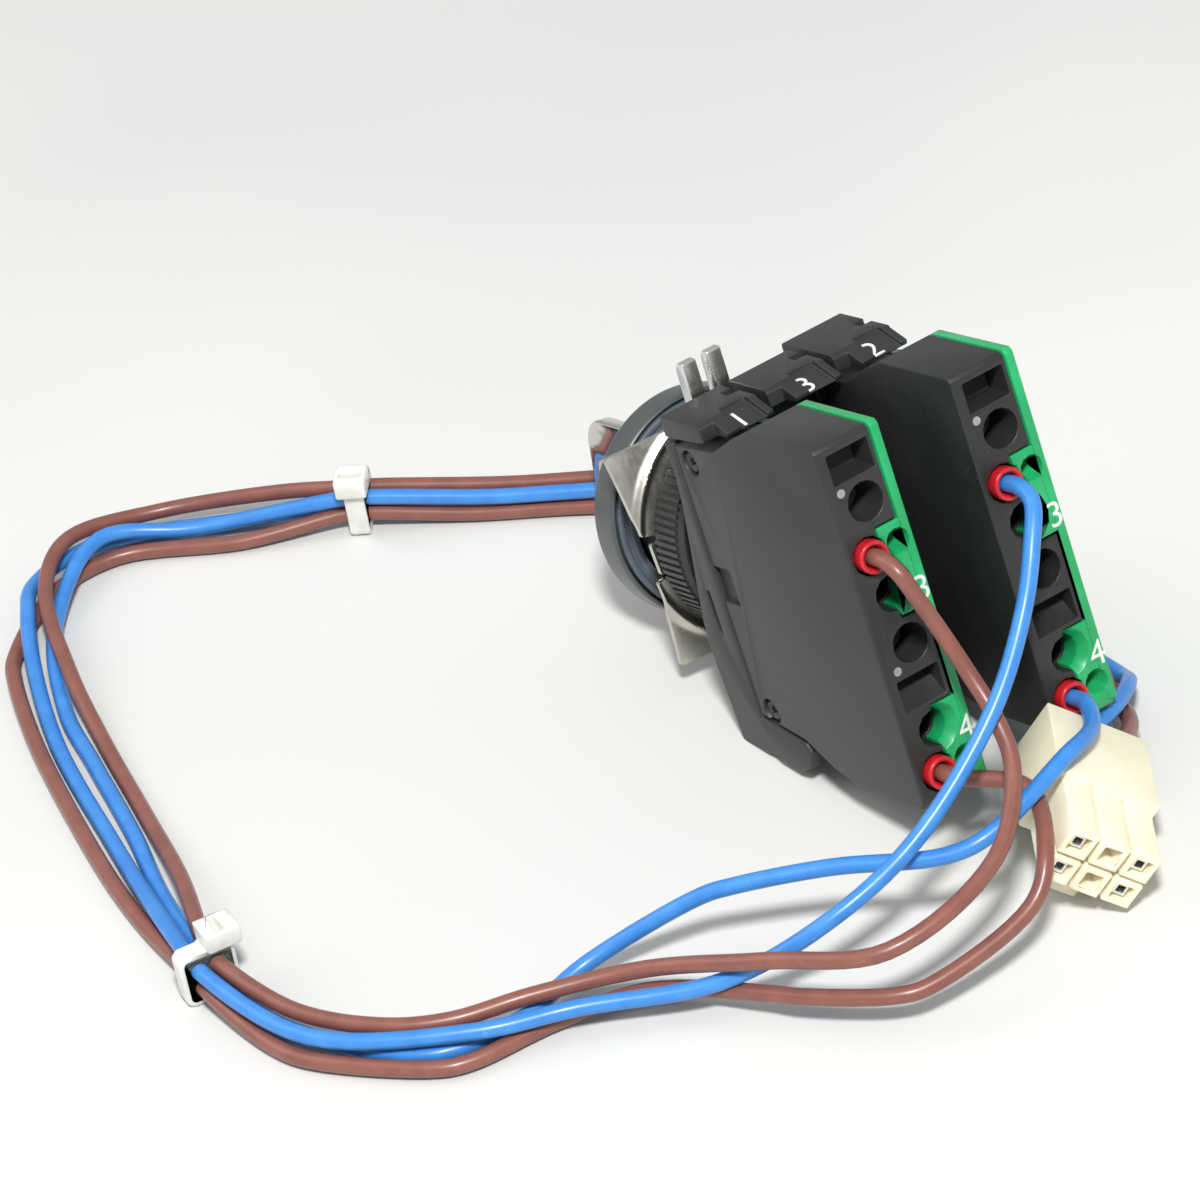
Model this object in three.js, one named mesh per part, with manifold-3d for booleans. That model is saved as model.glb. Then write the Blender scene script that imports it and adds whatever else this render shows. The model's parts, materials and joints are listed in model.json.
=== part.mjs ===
// Key-operated selector switch for a control panel, with its wiring pigtail.
// Millimetres. Inside the switch group x runs back from the front face of the panel along
// the switch's axis, y runs from position 1 to position 2, and z runs up from terminal 4 to
// terminal 3. The whole group then leans back until it rests on its bezel and lower hooks.
import * as THREE from 'three';
import { mergeVertices } from 'three/addons/utils/BufferGeometryUtils.js';
import Module from 'manifold-3d';

const wasm = await Module();
wasm.setup();

// ---------------------------------------------------------------- driving dimensions
const clearance = 0.3;            // gap left between pieces that touch
const sides = 32;                 // facets of a round piece

const pitch = 10;                 // spacing of the three contact positions
const panelHole = 22.3;           // hole in the panel that the neck goes through
const bezelRadius = 14.9;
const bezelDepth = 4.5;           // height of the bezel's side wall
const bezelCrown = 2.2;           // domed front of the bezel
const lockRadius = 8.2;           // face of the lock cylinder
const lockStandOut = 3;           // lock face ahead of the bezel's crown
const neckPlay = 0.25;            // gap between the neck and the panel's hole
const neckRadius = panelHole / 2 - neckPlay;
const neckLength = 23;            // neck from the panel's front face to its rear end
const neckBore = 9.4;             // bore that the cam turns in
const cylinderRadius = 7.2;       // barrel of the lock cylinder
const cylinderEnd = 11;
const camThickness = 2;
const keySwing = 90;              // degrees that the key turns
const rampDelay = 15;             // degrees before a ramp reaches its pusher

const sealOuter = 14.0;
const sealDepth = 1.1;

const plateSize = 29.5;           // square pressure plate
const plateThickness = 0.8;
const plateRing = 8.0;            // where the plate meets the nut
const plateDish = 0.0098;         // how fast the plate curves towards the panel
const plateTurn = 2.1;            // degrees
const tabMiddle = 0.8;            // height of the tab in each side edge
const plateCut = 6.4;             // length of the tab in each side edge
const plateCutDepth = 0.4;
const plateNotch = 2.2;           // depth of the notches that part the cut-out's tab from the sheet

const nutRadius = 14.5;
const nutDepth = 6.2;

const holderFront = 16.2;         // foremost face of the holder
const holderHeight = 23.2;        // from the axis to its lower edge
const seam = 23.8;                // rear face of the holder, front face of the blocks
const blockDepth = 33.9;
const blockHalf = 23.7;           // half the height of a contact block
const blockThickness = 9.4;       // with its cover
const coverThickness = 1.2;
const wall = 1.2;
const rearWall = 8.5;             // thick rear wall that holds the terminals' funnels

const hookReach = 9.8;            // lower hooks behind the seam
const hookBottom = 24.65;         // from the axis to the lowest point of the hooks
const latchTop = 22.8;
const latchFront = 22.2;
const latchTip = 34.6;
const latchStretch = 2.7;         // latch 2 reaches further forward

const pusherOffset = 8;           // pushers from the axis, towards their block
const pusherHalf = 0.95;          // half their width
const pusherRise = 1.6;           // half their height
const pusherPlay = 0.15;          // gap round a pusher where the neck's wall lies in its way
const pusherTravel = 3.5;
const bridgeGap = 3.7;            // open gap of the contacts

const wireRadius = 1.05;
const wireSides = 8;
const wireSteps = 78;
const ferruleRadius = 2.05;
const ferruleStandOut = 1.1;
const tineHeight = 26.9;

const keyEnd = -28.6;             // outer end of the key's bow
const keyHalf = 7.2;              // half the width of the bow
const keyThickness = 2.2;
const keyTilt = 9;                // degrees the key leans from upright

const wayPitch = 4.2;             // connector
const connectorLength = 22;
const siloLength = 9.6;
const contactEnd = -16;

// ---------------------------------------------------------------- heights on a block's rear face
const wireHole3 = 8.7;
const releaseHole3 = 3.2;
const wireHole4 = -20.0;
const releaseHole4 = -14.8;
const testHole1 = 15.1;
const testHole2 = -3.5;
const wireHoleShift = -1.5;       // wire holes sit towards the housing's plain side
const releaseShift = -0.2;
const holeRadius = 2.3;

// ---------------------------------------------------------------- materials
const paint = (color, roughness, metalness = 0) =>
  new THREE.MeshStandardMaterial({ color, roughness, metalness });
const black = paint(0x1d1f20, 0.6);
const darkGrey = paint(0x3b3d40, 0.45);
const sealGrey = paint(0x6d7c8c, 0.7);
const green = paint(0x1f9a5c, 0.5);
const white = paint(0xe8e6dc, 0.5);
const steel = paint(0xb9b9b2, 0.35, 0.9);
const tin = paint(0xd8d8d2, 0.3, 0.9);
const brassPlate = paint(0xc9a45c, 0.35, 0.9);
const ivory = paint(0xf3ecd6, 0.5);
const nylon = paint(0xe6e5dc, 0.4);
const red = paint(0xc22531, 0.45);
const blue = paint(0x2f7fd6, 0.45);
const brown = paint(0x7a4136, 0.5);

// ---------------------------------------------------------------- solids and booleans
function solid(geometry) {
  const g = geometry.clone();
  g.deleteAttribute('normal');
  g.deleteAttribute('uv');
  const m = mergeVertices(g, 1e-4);
  return new wasm.Manifold(new wasm.Mesh({
    numProp: 3,
    vertProperties: new Float32Array(m.attributes.position.array),
    triVerts: new Uint32Array(m.index.array),
  }));
}

function geometryOf(body) {
  const mesh = body.getMesh();
  const g = new THREE.BufferGeometry();
  g.setAttribute('position', new THREE.BufferAttribute(mesh.vertProperties, 3));
  g.setIndex(new THREE.BufferAttribute(mesh.triVerts, 1));
  g.computeVertexNormals();
  return g;
}

// a box from its low corner to its high corner
function box(x0, y0, z0, x1, y1, z1) {
  const g = new THREE.BoxGeometry(x1 - x0, y1 - y0, z1 - z0);
  g.translate((x0 + x1) / 2, (y0 + y1) / 2, (z0 + z1) / 2);
  return solid(g);
}

// a cylinder or cone along x
function rod(x0, x1, radius, y = 0, z = 0, farRadius = radius, facets = sides) {
  const g = new THREE.CylinderGeometry(farRadius, radius, x1 - x0, facets);
  g.rotateZ(-Math.PI / 2);
  g.translate((x0 + x1) / 2, y, z);
  return solid(g);
}

// a ring along x from [x, radius] points of its closed section
function turned(points, facets = sides) {
  const outline = points.map(([x, r]) => new THREE.Vector2(r, x));
  outline.push(outline[0].clone());
  const g = new THREE.LatheGeometry(outline, facets);
  g.rotateZ(-Math.PI / 2);
  const s = solid(g);
  return s.volume() < 0 ? solid(flipped(g)) : s;
}

function flipped(geometry) {
  const g = geometry.clone();
  const index = g.index.array;
  for (let i = 0; i < index.length; i += 3) [index[i], index[i + 1]] = [index[i + 1], index[i]];
  return g;
}

// a side profile of [x, z] points, extruded along y
function profile(points, y0, y1) {
  const shape = new THREE.Shape(points.map(([x, z]) => new THREE.Vector2(x, z)));
  const g = new THREE.ExtrudeGeometry(shape, { depth: y1 - y0, bevelEnabled: false });
  g.rotateX(Math.PI / 2);
  g.translate(0, y1, 0);
  return solid(g);
}

// ---------------------------------------------------------------- scene helpers
const object = new THREE.Group();
const body = new THREE.Group();
object.add(body);

function node(name, shape, material, parent = body) {
  const mesh = new THREE.Mesh(shape.getMesh ? geometryOf(shape) : shape, material);
  mesh.name = name;
  parent.add(mesh);
  return mesh;
}

const positionOf = { 1: -pitch, 2: pitch };

// ---------------------------------------------------------------- actuator
function bezelCollar() {
  const lip = bezelRadius - 2.4;
  return turned([
    [-sealDepth - clearance, neckRadius + 0.4], [-sealDepth - clearance, sealOuter + 0.35], [0, sealOuter + 0.35],
    [0, bezelRadius - 0.3], [-0.3, bezelRadius], [-bezelDepth, bezelRadius],
    [-bezelDepth - 0.9 * bezelCrown, lip], [-bezelDepth - bezelCrown, lip - 1.2],
    [-bezelDepth - bezelCrown, lockRadius + 1.9], [-bezelDepth + 0.6, lockRadius + 1.2],
    [-bezelDepth + 0.6, neckRadius + 0.4],
  ], 36);
}

function actuatorNeck() {
  const flange = turned([
    [-bezelDepth + 0.6 + clearance, lockRadius + 0.8], [-bezelDepth + 0.6 + clearance, neckRadius + 0.1],
    [neckLength - 6, neckRadius + 0.1], [neckLength - 6, neckRadius - 0.9], [neckLength - 3.5, neckRadius - 0.9],
    [neckLength - 3.5, neckRadius + 0.1], [neckLength, neckRadius + 0.1], [neckLength, neckBore],
    [cylinderEnd + 0.4, neckBore], [cylinderEnd + 0.4, cylinderRadius + 0.35], [1.5, cylinderRadius + 0.35],
    [1.5, lockRadius + 0.8],
  ], 32);
  // a key rib that stops the neck turning in the panel hole
  const rib = box(1.6, -1, neckRadius - 0.6, 5.5, 1, neckRadius + 0.9);
  let neck = flange.add(rib);
  for (const side of [-1, 1]) {
    const y = side * pusherOffset;
    const half = pusherHalf + pusherPlay;
    const rise = pusherRise + pusherPlay;
    neck = neck.subtract(box(cylinderEnd + 1, y - half, -rise, neckLength + 1, y + half, rise));
  }
  return neck;
}

function lockCylinder() {
  const face = -bezelDepth - bezelCrown - lockStandOut;
  const outline = [
    [face, 0], [face, lockRadius - 0.6], [face + 0.6, lockRadius], [1.0, lockRadius],
    [1.0, cylinderRadius], [cylinderEnd, cylinderRadius], [cylinderEnd, 3.4], [cylinderEnd + 1.3, 3.4],
    [cylinderEnd + 1.3, 0],
  ].map(([x, r]) => new THREE.Vector2(r, x));
  const g = new THREE.LatheGeometry(outline, 28);
  g.rotateZ(-Math.PI / 2);
  let s = solid(g);
  if (s.volume() < 0) s = solid(flipped(g));
  const keyway = box(face - 1, -1.1, -4.1, cylinderEnd - 2, 1.1, 4.1);
  return s.subtract(keyway);
}

function camDisc() {
  // a disc with two rising ramps that drive the pushers back as the key turns
  const front = cylinderEnd + 1.3 + clearance;
  const rear = front + camThickness;
  let cam = rod(front, rear, neckBore - 0.4, 0, 0, neckBore - 0.4, 28);
  cam = cam.add(rod(rear - 0.5, rear + 4.5, 2.6, 0, 0, 2.6, 16));
  for (const start of [-rampDelay, 180 - rampDelay]) cam = cam.add(ramp(rear, start));
  return cam;
}

// a ramp round the disc's edge: it climbs by the pushers' travel over the key's swing
function ramp(rear, start) {
  const stations = 10;
  const inner = neckBore - 3;
  const outer = neckBore - 0.4;
  const vertices = [];
  for (let i = 0; i <= stations; i++) {
    const a = THREE.MathUtils.degToRad(start - (keySwing * i) / stations);
    const top = rear + (pusherTravel * i) / stations + 0.02;
    for (const [x, r] of [[rear - 0.5, inner], [rear - 0.5, outer], [top, outer], [top, inner]]) {
      vertices.push(x, r * Math.cos(a), r * Math.sin(a));
    }
  }
  const faces = [0, 1, 2, 0, 2, 3];
  for (let i = 0; i < stations; i++) {
    for (let k = 0; k < 4; k++) {
      const [a, b] = [4 * i + k, 4 * i + ((k + 1) % 4)];
      faces.push(a, a + 4, b, b, a + 4, b + 4);
    }
  }
  const end = 4 * stations;
  faces.push(end, end + 2, end + 1, end, end + 3, end + 2);
  const g = new THREE.BufferGeometry();
  g.setAttribute('position', new THREE.BufferAttribute(new Float32Array(vertices), 3));
  g.setIndex(faces);
  const s = solid(g);
  return s.volume() < 0 ? solid(flipped(g)) : s;
}

// the pushers ride on the cam disc and reach back to the blocks' plungers
const pusherFront = cylinderEnd + 1.3 + clearance + camThickness + clearance;
function pusher(side) {
  const y = side * pusherOffset;
  return box(pusherFront, y - pusherHalf, -pusherRise, seam + 3, y + pusherHalf, pusherRise);
}

function ringNut() {
  const x0 = plateRing + plateThickness + clearance;
  return turned([
    [x0, neckRadius + 0.45], [x0, nutRadius - 0.4], [x0 + 0.4, nutRadius],
    [x0 + nutDepth - 0.5, nutRadius], [x0 + nutDepth, nutRadius - 0.6], [x0 + nutDepth, neckRadius + 0.45],
  ], 36);
}

function pressurePlate() {
  // a dished square sheet: its corners bend towards the panel, its middle meets the nut
  const cells = 8;
  const flat = new THREE.BoxGeometry(plateThickness, plateSize, plateSize, 1, cells, cells);
  const p = flat.attributes.position;
  for (let i = 0; i < p.count; i++) {
    const r2 = p.getY(i) ** 2 + p.getZ(i) ** 2;
    p.setX(i, p.getX(i) + plateRing + plateThickness / 2 - plateDish * Math.max(0, r2 - neckRadius ** 2));
  }
  let plate = solid(flat);
  plate = plate.subtract(rod(-2, 14, neckRadius + 0.5));
  const half = plateSize / 2;
  for (const side of [-1, 1]) {
    const y0 = side > 0 ? half - plateCutDepth : -half - 1;
    const y1 = side > 0 ? half + 1 : -half + plateCutDepth;
    plate = plate.subtract(box(-2, y0, tabMiddle - plateCut / 2, 14, y1, tabMiddle + plateCut / 2));
    for (const end of [-1, 1]) {
      const z = tabMiddle + end * (plateCut / 2 - 0.5);
      const deep = side > 0 ? [half - plateNotch, half] : [-half, -half + plateNotch];
      plate = plate.subtract(box(-2, deep[0], z - 0.5, 14, deep[1], z + 0.5));
    }
  }
  const g = geometryOf(plate);
  g.rotateX(THREE.MathUtils.degToRad(plateTurn));
  return g;
}

// ---------------------------------------------------------------- holder, fork and latches
const halfWidth = 1.5 * pitch - 0.2;

function holderFrame() {
  const outline = [
    [seam, 19.2], [21.9, 19.2], [22.0, 14.3], [21.4, 11.0], [holderFront + 0.5, -6.4], [holderFront, -10],
    [holderFront + 0.9, -holderHeight + 0.3], [holderFront + 1.6, -holderHeight], [22.8, -holderHeight - 0.5],
    [24.4, -holderHeight - 0.3], [25.4, -hookBottom + 0.4], [seam + 6, -hookBottom],
    [seam + hookReach - 1.2, -hookBottom + 0.9], [seam + hookReach, -21.4], [seam + hookReach - 0.6, -20.1],
    [seam + 1.4, -18.7], [seam, -18.5],
  ];
  let frame = profile(outline, -halfWidth, halfWidth);
  // round socket that takes the actuator's neck
  frame = frame.subtract(rod(holderFront - 1, seam + 1, neckRadius + 0.4, 0, 0, neckRadius + 0.4, 32));
  // slots that part the three lower hooks
  for (const y of [-pitch / 2, pitch / 2]) {
    frame = frame.subtract(box(seam - 1.2, y - 0.6, -hookBottom - 1, seam + hookReach + 1, y + 0.6, -15));
  }
  // narrow slot in each side wall
  for (const side of [-1, 1]) {
    const y = side * halfWidth;
    frame = frame.subtract(box(20.2, Math.min(y, y - side * 0.8), -7.5, 20.9, Math.max(y, y - side * 0.8), -1.5));
  }
  // the pocket that the fork stands in
  const pocket = box(forkX - 0.3, forkY - 0.3, 14, forkX + forkDepth + 0.3, forkY + 2 * tineWidth + tineGap + 0.3, 20);
  return frame.subtract(pocket);
}

const forkX = 19.4;
const forkY = -9.3;
const forkDepth = 2.2;
const tineWidth = 2.1;
const tineGap = 1.6;
function lockingFork() {
  const base = box(forkX, forkY, 14.4, forkX + forkDepth, forkY + 2 * tineWidth + tineGap, 17.6);
  let fork = base;
  for (const k of [0, 1]) {
    const y = forkY + k * (tineWidth + tineGap);
    // each tine leans back a little and has a rounded front shoulder
    const tine = profile([
      [forkX, 17.0], [forkX + forkDepth, 17.0], [forkX + forkDepth + 0.25, 19.8],
      [forkX + forkDepth + 0.45, tineHeight], [forkX + 1.5, tineHeight + 0.1],
      [forkX + 0.8, tineHeight - 0.5], [forkX + 0.6, tineHeight - 1.4], [forkX + 0.25, 19.8],
    ], y, y + tineWidth);
    fork = fork.add(tine);
  }
  return fork;
}

function latch(y0, stretch) {
  const width = pitch - 1;
  const front = latchFront + 0.5 - stretch;
  const under = 20.25;
  let lever = profile([
    [front, latchTop - 0.3], [front + 0.4, latchTop], [31.2, latchTop], [31.6, latchTop - 0.35],
    [latchTip, 21.35], [latchTip - 0.2, 20.7], [32.4, 20.55], [31.0, under + 0.1], [24.6, under - 0.35],
    [front, under - 0.35],
  ], y0, y0 + width);
  // recess around the numeral pad, sloping down to the tip
  const pad = profile([[30.0, 22.35], [36, 20.4], [36, 24], [30.0, 24]], y0 + 4.2, y0 + width - 1.0);
  lever = lever.subtract(pad);
  // the rear corner beside the pad is cut away
  lever = lever.subtract(box(31.8, y0 - 1, 19, 36, y0 + 2.1, 24));
  // small grip notch in the top
  lever = lever.subtract(box(25.6, y0 + width - 1.6, latchTop - 0.7, 27.4, y0 + width + 1, 24));
  return lever;
}

// ---------------------------------------------------------------- contact blocks
const blockRear = seam + blockDepth;
const coverFrom = blockThickness / 2 - coverThickness;   // y, from the block's centre, where the cover starts

const blockOutline = [
  [seam + clearance, 19.0], [33.4, 19.55], [38.9, 22.2], [42.6, blockHalf], [blockRear - 0.5, blockHalf],
  [blockRear, blockHalf - 0.5], [blockRear, -blockHalf + 0.8], [blockRear - 0.8, -blockHalf], [42.6, -blockHalf],
  [38.4, -22.5], [34.6, -20.4], [33.2, -19.6], [seam + 1.4, -18.2], [seam + clearance, -18.0],
];

// the cover's two rear ears fill these ranges of height, from this y outwards
const ears = [
  { top: 11.3, bottom: 0.0 },
  { top: -12.1, bottom: -blockHalf - 1 },
];
const earFrom = 0.3;
const earDepth = 4;

function terminalHoles(body, yc, depth) {
  const x0 = blockRear - depth;
  for (const z of [wireHole3, wireHole4]) {
    body = body.subtract(rod(x0, blockRear + 1, holeRadius + 0.1, yc + wireHoleShift, z, holeRadius + 0.1, 12));
  }
  for (const z of [releaseHole3, releaseHole4]) {
    body = body.subtract(rod(x0, blockRear + 1, holeRadius, yc + releaseShift, z, holeRadius, 12));
  }
  return body;
}

function blockHousing(yc) {
  const y0 = yc - blockThickness / 2;
  const y1 = yc + coverFrom - clearance;
  let shell = profile(blockOutline, y0, y1);
  // chamber for the plunger, the bridge and the terminals, open towards the cover
  const inner = blockRear - rearWall;
  shell = shell.subtract(box(seam + 1.6, y0 + wall, -16.2, inner, y1 + 1, 16.6));
  shell = shell.subtract(box(38.8, y0 + wall, -21.4, inner, y1 + 1, 19.6));
  // plunger opening in the front wall
  const py = Math.sign(yc) * pusherOffset;
  shell = shell.subtract(box(seam - 1, py - pusherHalf - 0.4, -2.4, seam + 2.5, py + pusherHalf + 0.4, 2.4));
  shell = terminalHoles(shell, yc, rearWall + 2);
  // blind test holes, the marking pocket and the deep sloped pocket
  for (const z of [testHole1, testHole2]) {
    shell = shell.subtract(rod(blockRear - 6, blockRear + 1, 2.45, yc + 0.1, z, 2.45, 16));
  }
  shell = shell.subtract(box(blockRear - 4.5, yc - 3.2, 18.5, blockRear + 1, y1 - 0.5, 22.3));
  const slope = profile([
    [blockRear - 4.8, -7.3], [blockRear + 1, -7.3], [blockRear + 1, -11.6], [blockRear - 0.6, -11.2],
  ], yc - 3.3, y1 - 0.5);
  shell = shell.subtract(slope);
  // room for the cover's ears
  for (const ear of ears) {
    shell = shell.subtract(box(blockRear - earDepth - clearance, yc + earFrom - clearance, ear.bottom - clearance,
      blockRear + 1, y1 + 1, ear.top + clearance));
  }
  // rivet seats and the small window near the front edge
  for (const z of [-rivetZ, rivetZ]) {
    shell = shell.subtract(rivetHole(yc, z));
  }
  return shell.subtract(box(seam + clearance - 0.1, y0 - 1, -2.2, seam + 3.9, y0 + 0.6, 2.6));
}

const rivetX = seam + 3;
const rivetZ = 17;
function rivetHole(yc, z) {
  const g = new THREE.CylinderGeometry(1.75, 1.75, blockThickness + 2, 12);
  g.translate(rivetX, yc, z);
  return solid(g);
}

function rivet(yc, z) {
  const y0 = yc - blockThickness / 2 + 0.35;
  const y1 = yc + blockThickness / 2 - 0.35;
  const g = new THREE.CylinderGeometry(1.45, 1.45, y1 - y0, 12);
  g.translate(rivetX, (y0 + y1) / 2, z);
  const drive = new THREE.CylinderGeometry(0.7, 0.7, 1, 6);
  drive.translate(rivetX, y0, z);
  return solid(g).subtract(solid(drive));
}

function blockCover(yc) {
  const y0 = yc + coverFrom;
  const y1 = yc + blockThickness / 2;
  let cover = profile(blockOutline, y0, y1);
  for (const ear of ears) {
    const low = Math.max(ear.bottom, -blockHalf + 0.3);
    cover = cover.add(box(blockRear - earDepth, yc + earFrom, low, blockRear - 0.05, y0 + 0.5, ear.top));
  }
  // the ears' half round cuts and their quarter funnels
  cover = terminalHoles(cover, yc, earDepth + 2);
  for (const z of [wireHole3, wireHole4]) {
    cover = cover.subtract(rod(blockRear - 3.4, blockRear + 0.5, 0.7, yc + 2.6, z, 1.75, 12));
  }
  for (const z of [releaseHole3, releaseHole4]) {
    cover = cover.subtract(rod(blockRear - 1.4, blockRear + 0.01, holeRadius, yc + releaseShift, z, 3.3, 12));
  }
  for (const z of [-rivetZ, rivetZ]) {
    cover = cover.subtract(rivetHole(yc, z));
  }
  return cover;
}

// inside a block: y range of the chamber
function chamber(yc) {
  return [yc - blockThickness / 2 + wall, yc + coverFrom - clearance];
}

function plunger(yc) {
  const py = Math.sign(yc) * pusherOffset;
  const [c0, c1] = chamber(yc);
  const mid = (c0 + c1) / 2;
  const stem = box(seam + 3 + clearance, py - pusherHalf, -pusherRise, seam + 7, py + pusherHalf, pusherRise);
  const frame = box(seam + 6.5, c0 + 0.4, -4.2, seam + 12, c1 - 0.4, 4.2);
  const window = box(seam + 8.2, mid - 1.9, -6, seam + 10.4, mid + 1.9, 6);
  const springSeat = rod(seam + 11.8, seam + 13.4, 1.0, mid, 0, 1.0, 12);
  return stem.add(frame).subtract(window).add(springSeat);
}

function bridge(yc) {
  const [c0, c1] = chamber(yc);
  const mid = (c0 + c1) / 2;
  const bar = box(seam + 9.2, mid - 1.6, -3.3, seam + 10.0, mid + 1.6, 3.3);
  const arms = box(seam + 9.2, mid - 1.0, -9.4, seam + 10.0, mid + 1.0, 9.4);
  // the arms pass the carrier's frame through its window slots
  const upper = rod(seam + 9.9, seam + 10.9, 1.2, mid, 8.2, 1.0, 12);
  const lower = rod(seam + 9.9, seam + 10.9, 1.2, mid, -8.2, 1.0, 12);
  return bar.add(arms).add(upper).add(lower);
}

function springCoil(x0, x1, radius, wire, turns, y, z) {
  class Helix extends THREE.Curve {
    getPoint(t, target = new THREE.Vector3()) {
      const a = 2 * Math.PI * turns * t;
      return target.set(x0 + wire + (x1 - x0 - 2 * wire) * t, y + radius * Math.cos(a), z + radius * Math.sin(a));
    }
  }
  const section = new THREE.Shape();
  section.absarc(0, 0, wire, 0, 2 * Math.PI, false);
  return new THREE.ExtrudeGeometry(section, { extrudePath: new Helix(), steps: turns * 8, curveSegments: 3,
    bevelEnabled: false });
}

function returnSpring(yc) {
  const [c0, c1] = chamber(yc);
  return springCoil(seam + 12 + clearance, blockRear - rearWall - clearance, 1.7, 0.28, 5, (c0 + c1) / 2, 0);
}

function fixedTerminal(yc, upper) {
  // a bent strip from the fixed contact to the clamp cage
  const [c0, c1] = chamber(yc);
  const mid = (c0 + c1) / 2;
  const sign = upper ? 1 : -1;
  const contactZ = 8.2 * sign;
  const limbZ = upper ? wireHole3 + 2.7 : wireHole4 + 1.9;
  const cx = seam + 10.9 + bridgeGap;
  const strip = (z0, z1) => [Math.min(z0, z1), Math.max(z0, z1)];
  const [a0, a1] = strip(contactZ - 1.6 * sign, limbZ + 0.4 * sign);
  let part = box(cx + 0.9, mid - 1.6, a0, cx + 1.8, mid + 1.6, a1);
  part = part.add(rod(cx, cx + 1, 1.3, mid, contactZ, 1.3, 12));
  // the rear limb lies along the wire hole
  part = part.add(box(cx + 0.9, mid - 1.6, limbZ - 0.4, blockRear - rearWall - 0.5, mid + 1.6, limbZ + 0.4));
  return part;
}

function clampSpring(yc, upper) {
  // a folded cage of spring steel between the wire hole and the release hole
  const [c0, c1] = chamber(yc);
  const mid = (c0 + c1) / 2;
  const x1 = blockRear - rearWall - 0.6;
  const z0 = upper ? 2.9 : -17.0;
  const z1 = z0 + 4.2;
  const t = 0.5;
  return profile([
    [x1 - 6.4, z0], [x1, z0], [x1, z1], [x1 - t, z1], [x1 - t, z0 + t], [x1 - 6.4 + t, z0 + t],
    [x1 - 6.4 + t, z1 - 0.9], [x1 - 2.6, z1 - 0.4], [x1 - 2.6, z1], [x1 - 6.4, z1 - 0.4],
  ], mid - 1.7, mid + 1.7);
}

// ---------------------------------------------------------------- assembly of the switch
node('bezel_collar', bezelCollar(), darkGrey);
node('front_seal', turned([
  [-sealDepth, neckRadius + 0.6], [-sealDepth, sealOuter], [0.2, sealOuter], [0.2, neckRadius + 0.6],
], 32), sealGrey);
node('actuator_body', actuatorNeck(), black);
node('cam_disc', camDisc(), white);
node('pressure_plate', pressurePlate(), steel);
node('ring_nut', ringNut(), black);
node('holder', holderFrame(), black);
node('locking_fork', lockingFork(), tin);
node('latch_1', latch(-halfWidth + 0.1, 0), black);
node('latch_3', latch(-pitch / 2 + 0.5, 0), black);
node('latch_2', latch(pitch / 2 + 0.5, latchStretch), black);

for (const [number, yc] of Object.entries(positionOf)) {
  const name = `block_${number}`;
  const side = Math.sign(yc);
  node(`pusher_${number}`, pusher(side), white);
  node(`${name}_housing`, blockHousing(yc), black);
  node(`${name}_cover`, blockCover(yc), green);
  node(`${name}_plunger`, plunger(yc), white);
  node(`${name}_bridge`, bridge(yc), brassPlate);
  node(`${name}_spring`, returnSpring(yc), steel);
  node(`${name}_terminal_3`, fixedTerminal(yc, true), brassPlate);
  node(`${name}_terminal_4`, fixedTerminal(yc, false), brassPlate);
  node(`${name}_clamp_3`, clampSpring(yc, true), steel);
  node(`${name}_clamp_4`, clampSpring(yc, false), steel);
  node(`${name}_rivet_upper`, rivet(yc, rivetZ), black);
  node(`${name}_rivet_lower`, rivet(yc, -rivetZ), black);
}

// ---------------------------------------------------------------- key
function flatKey() {
  const r = 3.5;
  const shoulder = -bezelDepth - bezelCrown - lockStandOut - 1.6;
  const bow = [[shoulder, -keyHalf + 1.2], [shoulder, keyHalf - 1.2], [shoulder - 1.2, keyHalf]];
  for (let i = 0; i <= 4; i++) {
    const a = (Math.PI / 2) * (i / 4);
    bow.push([keyEnd + r - r * Math.sin(a), keyHalf - r + r * Math.cos(a)]);
  }
  for (let i = 0; i <= 4; i++) {
    const a = (Math.PI / 2) * (i / 4);
    bow.push([keyEnd + r - r * Math.cos(a), -keyHalf + r - r * Math.sin(a)]);
  }
  bow.push([shoulder - 1.2, -keyHalf]);
  let key = profile(bow, -keyThickness / 2, keyThickness / 2);
  const blade = box(shoulder - 1, -0.75, -3.7, cylinderEnd - 2.6, 0.75, 3.7);
  // ring hole near the outer end
  const hole = new THREE.CylinderGeometry(1.8, 1.8, 6, 16);
  hole.translate(keyEnd + 4.2, 0, 0);
  return key.subtract(solid(hole)).add(blade);
}
const turnedParts = new THREE.Group();
turnedParts.rotation.x = -THREE.MathUtils.degToRad(keyTilt);
body.add(turnedParts);
node('key', flatKey(), steel, turnedParts);
node('lock_cylinder', lockCylinder(), steel, turnedParts);

// ---------------------------------------------------------------- resting place
// the switch leans back until the bezel's front rim and the lower hooks touch the table
const rimX = -bezelDepth;
const hookX = seam + 6;
const lean = Math.atan2(hookBottom - bezelRadius, hookX - rimX);
body.rotation.y = -lean;
object.updateMatrixWorld(true);
const bounds = new THREE.Box3().setFromObject(body, true);
body.position.set(-(bounds.min.x + bounds.max.x) / 2, -(bounds.min.y + bounds.max.y) / 2, -bounds.min.z);

// ---------------------------------------------------------------- ferrules
const terminals = {
  blue_a: [pitch + wireHoleShift, wireHole3],
  blue_b: [pitch + wireHoleShift, wireHole4],
  brown_a: [-pitch + wireHoleShift, wireHole3],
  brown_b: [-pitch + wireHoleShift, wireHole4],
};

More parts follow.
